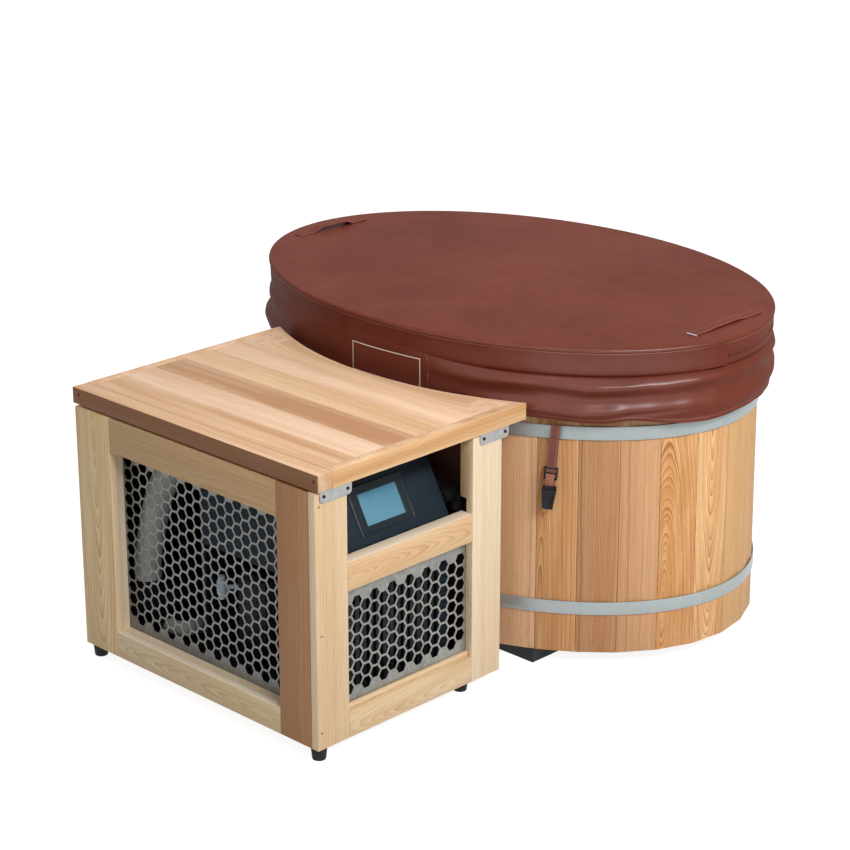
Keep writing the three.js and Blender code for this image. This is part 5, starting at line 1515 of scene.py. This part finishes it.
# The frame's left, right and bottom sides take the pale finish: a painted highlight.
highlight_faces = [
    abs(face.normal.y) < 0.5 and (abs(face.center.x) > 0.0756 or face.center.z < 0.0189) for face in bezel.data.polygons
]
bezel.data.transform(panel_frame)
glass, tree, shader = start_finish("display_glass", 0.3, specular_ior_level=0.2)
spot = add(tree, "ShaderNodeTexCoord").outputs["Object"]
skin = use_group(tree, moulded_skin, vector=spot, pebble=0.01)
feed(tree, shader.inputs["Base Color"], blend(tree, skin["Dust"], (0.008, 0.015, 0.022), (0.013, 0.022, 0.030)))
bezel.data.materials.append(glass)
bezel.data.materials.append(painted_edge_highlight)
for face in bezel.data.polygons:
    face.material_index = int(highlight_faces[face.index])
settle(bezel, None, "base", "display_glass", "display_bezel")
print("display frame faces:", len(bezel.data.polygons))

# %% Light the screen
screen = add_box("display_glass_screen", (-0.0545, -0.0031, 0.0345), (0.0545, -0.0022, 0.104))
ease_edges(screen, 0.0003)
screen.data.transform(panel_frame)
lit, tree, shader = start_finish("display_screen", 0.35, specular_ior_level=0.2, emission_strength=0.2)
spot = add(tree, "ShaderNodeTexCoord").outputs["Object"]
height = add(tree, "ShaderNodeSeparateXYZ", {0: spot}).outputs["Z"]
screen_low, screen_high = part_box("display_screen")
fade = fit(tree, height, screen_low.z, screen_high.z, 1.0, 0.0)
fade = calc(tree, "ADD", calc(tree, "MULTIPLY", fade, 0.7), calc(tree, "MULTIPLY", noise(tree, spot, 22.0, 3), 0.4))
glow = blend(tree, fade, (0.062, 0.19, 0.28), (0.115, 0.27, 0.365))
feed(tree, shader.inputs["Base Color"], glow)
feed(tree, shader.inputs["Emission Color"], glow)
settle(screen, lit, "base", "display_screen", "display_screen")
print("screen faces:", len(screen.data.polygons))

# %% [markdown]
# ## Feet and screws
# Four tapered rubber feet carry the cabinet. A cone primitive gets a rounded foot edge and a recess for its screw, and
# is copied to each place. The screws are pan heads with a square drive: a short cylinder with its top inset, pushed
# in and eased. They fill the bracket holes and the bored holes of the boards.

# %% Make the feet


def copy_of(piece, name):
    """A copy with a mesh of its own."""
    made = piece.copy()
    made.data = piece.data.copy()
    made.name = name
    made.data.name = name
    bpy.context.scene.collection.objects.link(made)
    return made


clear()
bpy.ops.mesh.primitive_cone_add(vertices=48, radius1=0.0145, radius2=0.0175, depth=0.0297, location=(0, 0, 0.01485))
foot_model = named("rubber_foot")
pick(foot_model, lambda face: face.normal.z < -0.9)
bpy.ops.mesh.inset(thickness=0.008, depth=0)
bpy.ops.mesh.inset(thickness=0.0005, depth=-0.004)
bpy.ops.object.mode_set(mode="OBJECT")
apply_modifier(foot_model, "BEVEL", width=0.0016, segments=3, limit_method="ANGLE", angle_limit=math.radians(50))
edit(foot_model)
done()
for node in ("foot_front_left", "foot_front_right", "foot_rear_left", "foot_rear_right"):
    low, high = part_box(node)
    foot = copy_of(foot_model, "rubber_" + node)
    foot.data.transform(Matrix.Translation(((low.x + high.x) / 2, (low.y + high.y) / 2, 0)))
    settle(foot, black_rubber, "base", "black_rubber", node)
bpy.data.objects.remove(foot_model)
print("feet: 4")

# %% Drive the screws
clear()
bpy.ops.mesh.primitive_cylinder_add(vertices=20, radius=0.0036, depth=0.0022, location=(0, 0, 0))
screw_model = named("pan_screw")
pick(screw_model, lambda face: face.normal.z > 0.9)
bpy.ops.mesh.inset(thickness=0.0019, depth=0)
bpy.ops.mesh.inset(thickness=0.0002, depth=-0.0012)
bpy.ops.object.mode_set(mode="OBJECT")
apply_modifier(screw_model, "BEVEL", width=0.0007, segments=2, limit_method="ANGLE", angle_limit=math.radians(50))
edit(screw_model)
done()
screws = []
for node in ("lid_bracket_left", "lid_bracket_right"):
    low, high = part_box(node)
    for place_x in (low.x + 0.011, high.x - 0.011):
        screws.append((Vector((place_x, low.y - 0.0008, high.z - 0.013)), (quarter, 0, 0), "lid", 1.0, fin_metal))
for place in strip_screws:
    screws.append((place + Vector((0.0042, 0, 0)), (0, -quarter, 0), "lid", 1.0, black_plastic))
for place in (at(11, 0.3, 561), at(14, 0.3, 282), at(11, 0.3, 68)):
    screws.append((place, (quarter, 0, 0), "base", 0.62, black_plastic))
for number, (place, turn, body, size, finish) in enumerate(screws):
    screw = copy_of(screw_model, f"screw_{number + 1}")
    spin = Matrix.Rotation(turn[0], 4, "X") @ Matrix.Rotation(turn[1], 4, "Y")
    screw.data.transform(Matrix.Translation(place) @ spin @ Matrix.Scale(size, 4))
    settle(screw, finish, body, "galvanised_steel" if finish == fin_metal else "black_plastic")
bpy.data.objects.remove(screw_model)
print("screws:", len(screws))

# %% [markdown]
# ## Hoses
# Three foam-sleeved hoses join the chiller, the pump and the tub. Through the left grille one shows as a fat grey
# tube. A path curve through the route's points, with a round bevel, gives a smooth tube that is then made a mesh. The
# routes are those of the solids, so the tubes stay in their fittings.

# %% Run the hoses
routes = {
    "supply_hose": (0.017, [
        (467.3, 103.3, 440), (467.3, 162.1, 440), (467.3, 301.8, 440), (470.2, 360.6, 440), (485.4, 397.1, 440),
        (509.3, 411, 440), (531.6, 411, 440), (552.6, 411, 440),
    ]),
    "return_hose": (0.017, [
        (552.6, 411, 230), (531.6, 411, 230), (509.3, 411, 230), (485.4, 423.2, 230), (469.4, 455.9, 225.7),
        (458.9, 501.5, 204), (416.9, 539.3, 157.9), (290.4, 543.5, 101.7), (168.6, 543.5, 85.8), (122.4, 556.1, 85.8),
        (109.8, 578.6, 85.8), (109.8, 596.4, 85.8),
    ]),
    "transfer_hose": (0.031, [
        (109.8, 664.7, 181.6), (109.8, 664.7, 211.3), (105.7, 639.4, 301.3), (105.7, 594.6, 421.3),
        (117.7, 551.8, 491.3), (136.2, 514.8, 514.6), (139.8, 489.5, 514.6), (139.8, 470.3, 514.6),
    ]),
}


def smooth_route(route, count):
    """Points spaced along a smooth curve through a route."""
    fixed = np.array(route, float)
    gaps = np.sqrt(np.linalg.norm(np.diff(fixed, axis=0), axis=1))
    knots = np.concatenate([[0], np.cumsum(gaps)])
    tangents = np.gradient(fixed, knots, axis=0)
    found = []
    for knot in np.linspace(0, knots[-1], count):
        i = min(int(np.searchsorted(knots, knot, side="right")) - 1, len(gaps) - 1)
        wide = knots[i + 1] - knots[i]
        s = (knot - knots[i]) / wide
        found.append(
            (2 * s**3 - 3 * s**2 + 1) * fixed[i] + (s**3 - 2 * s**2 + s) * wide * tangents[i]
            + (-2 * s**3 + 3 * s**2) * fixed[i + 1] + (s**3 - s**2) * wide * tangents[i + 1]
        )
    return found


for node, (thick, route) in routes.items():
    clear()
    bpy.ops.curve.primitive_nurbs_path_add(location=(0, 0, 0))
    path = bpy.context.object
    path.data.splines.clear()
    line = path.data.splines.new("POLY")
    marks = smooth_route(route, 60)
    line.points.add(len(marks) - 1)
    for point, mark in zip(line.points, marks):
        point.co = (*at(*mark), 1)
    path.data.bevel_depth = thick
    path.data.bevel_resolution = 6
    path.data.use_fill_caps = True
    bpy.ops.object.convert(target="MESH")
    tube = named("sleeved_" + node)
    edit(tube)
    bpy.ops.mesh.select_all(action="SELECT")
    bpy.ops.mesh.remove_doubles(threshold=0.00001)
    bpy.ops.mesh.normals_make_consistent(inside=False)
    done(60)
    if node == "supply_hose":
        settle(tube, black_rubber, "base", "black_rubber", node)
    else:
        settle(tube, grey_foam, "base", "grey_foam", node)
print("hoses:", len(routes))

# %% [markdown]
# ## The service valve
# A small capped valve stands out from the compressor's side and shows as a pale spot behind the left grille. Its pipe
# starts inside the compressor's shell. The body is a cylinder whose ends are inset and drawn out into caps.

# %% Make the service valve
shell_low, shell_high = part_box("compressor")
valve_turn, valve_level, valve_out = math.radians(141), 0.232, 0.096
valve_way = Vector((math.cos(valve_turn), math.sin(valve_turn), 0))
shell_axis = Vector(((shell_low.x + shell_high.x) / 2, (shell_low.y + shell_high.y) / 2, valve_level))
shell_radius = (shell_high.x - shell_low.x) / 2
pipe_start, pipe_end = shell_axis + valve_way * (shell_radius - 0.004), shell_axis + valve_way * valve_out
clear()
bpy.ops.mesh.primitive_cylinder_add(
    vertices=24, radius=0.0055, depth=(pipe_end - pipe_start).length, location=(pipe_start + pipe_end) / 2,
    rotation=(0, quarter, valve_turn),
)
pipe = named("service_pipe")
ease_edges(pipe, 0.0008)
clear()
bpy.ops.mesh.primitive_cylinder_add(vertices=32, radius=0.011, depth=0.030, location=pipe_end)
valve = named("service_valve")
pick(valve, lambda face: abs(face.normal.z) > 0.9)
bpy.ops.mesh.inset(thickness=0.003, depth=0.002, use_individual=True)
bpy.ops.mesh.inset(thickness=0.0005, depth=0.010, use_individual=True)
bpy.ops.mesh.select_all(action="SELECT")
bpy.ops.mesh.normals_make_consistent(inside=False)
bpy.ops.object.mode_set(mode="OBJECT")
apply_modifier(valve, "BEVEL", width=0.0012, segments=2, limit_method="ANGLE", angle_limit=math.radians(40))
edit(valve)
done()
service_valve = settle(join_pieces([valve, pipe], "service_valve"), service_cap, "base", "galvanised_steel")
print("service valve faces:", len(service_valve.data.polygons))

# %% [markdown]
# ## Finishes on the solids that stay
# The other solids already have the right shape, so they only take their finish. Each name is listed once, with the
# finish of the real piece.

# %% Finish the remaining solids
carried = {
    side_boards: ["right_panel"],
    stop_boards: ["left_stop_frame"],
    floor_boards: ["cabinet_floor"],
    tub_boards: ["tub_floor"],
    wall_boards: ["fitting_stave"],
    galvanised: ["front_grille"],
    painted_shade_zinc: ["left_grille"],
    bracket_steel: ["lid_bracket_left", "lid_bracket_right"],
    black_paint: ["chiller_tray", "fan_motor", "compressor", "circulation_pump", "plinth"],
    black_plastic: ["fan_rotor", "valve_body", "valve_handle", "supply_fitting", "return_fitting"],
    navy_casing: ["chiller_casing"],
    fin_metal: ["condenser"],
    grey_foam: ["heat_exchanger"],
}
for finish, names in carried.items():
    for name in names:
        nodes[name].data.materials.clear()
        nodes[name].data.materials.append(finish)
print("carried solids:", sum(len(names) for names in carried.values()))
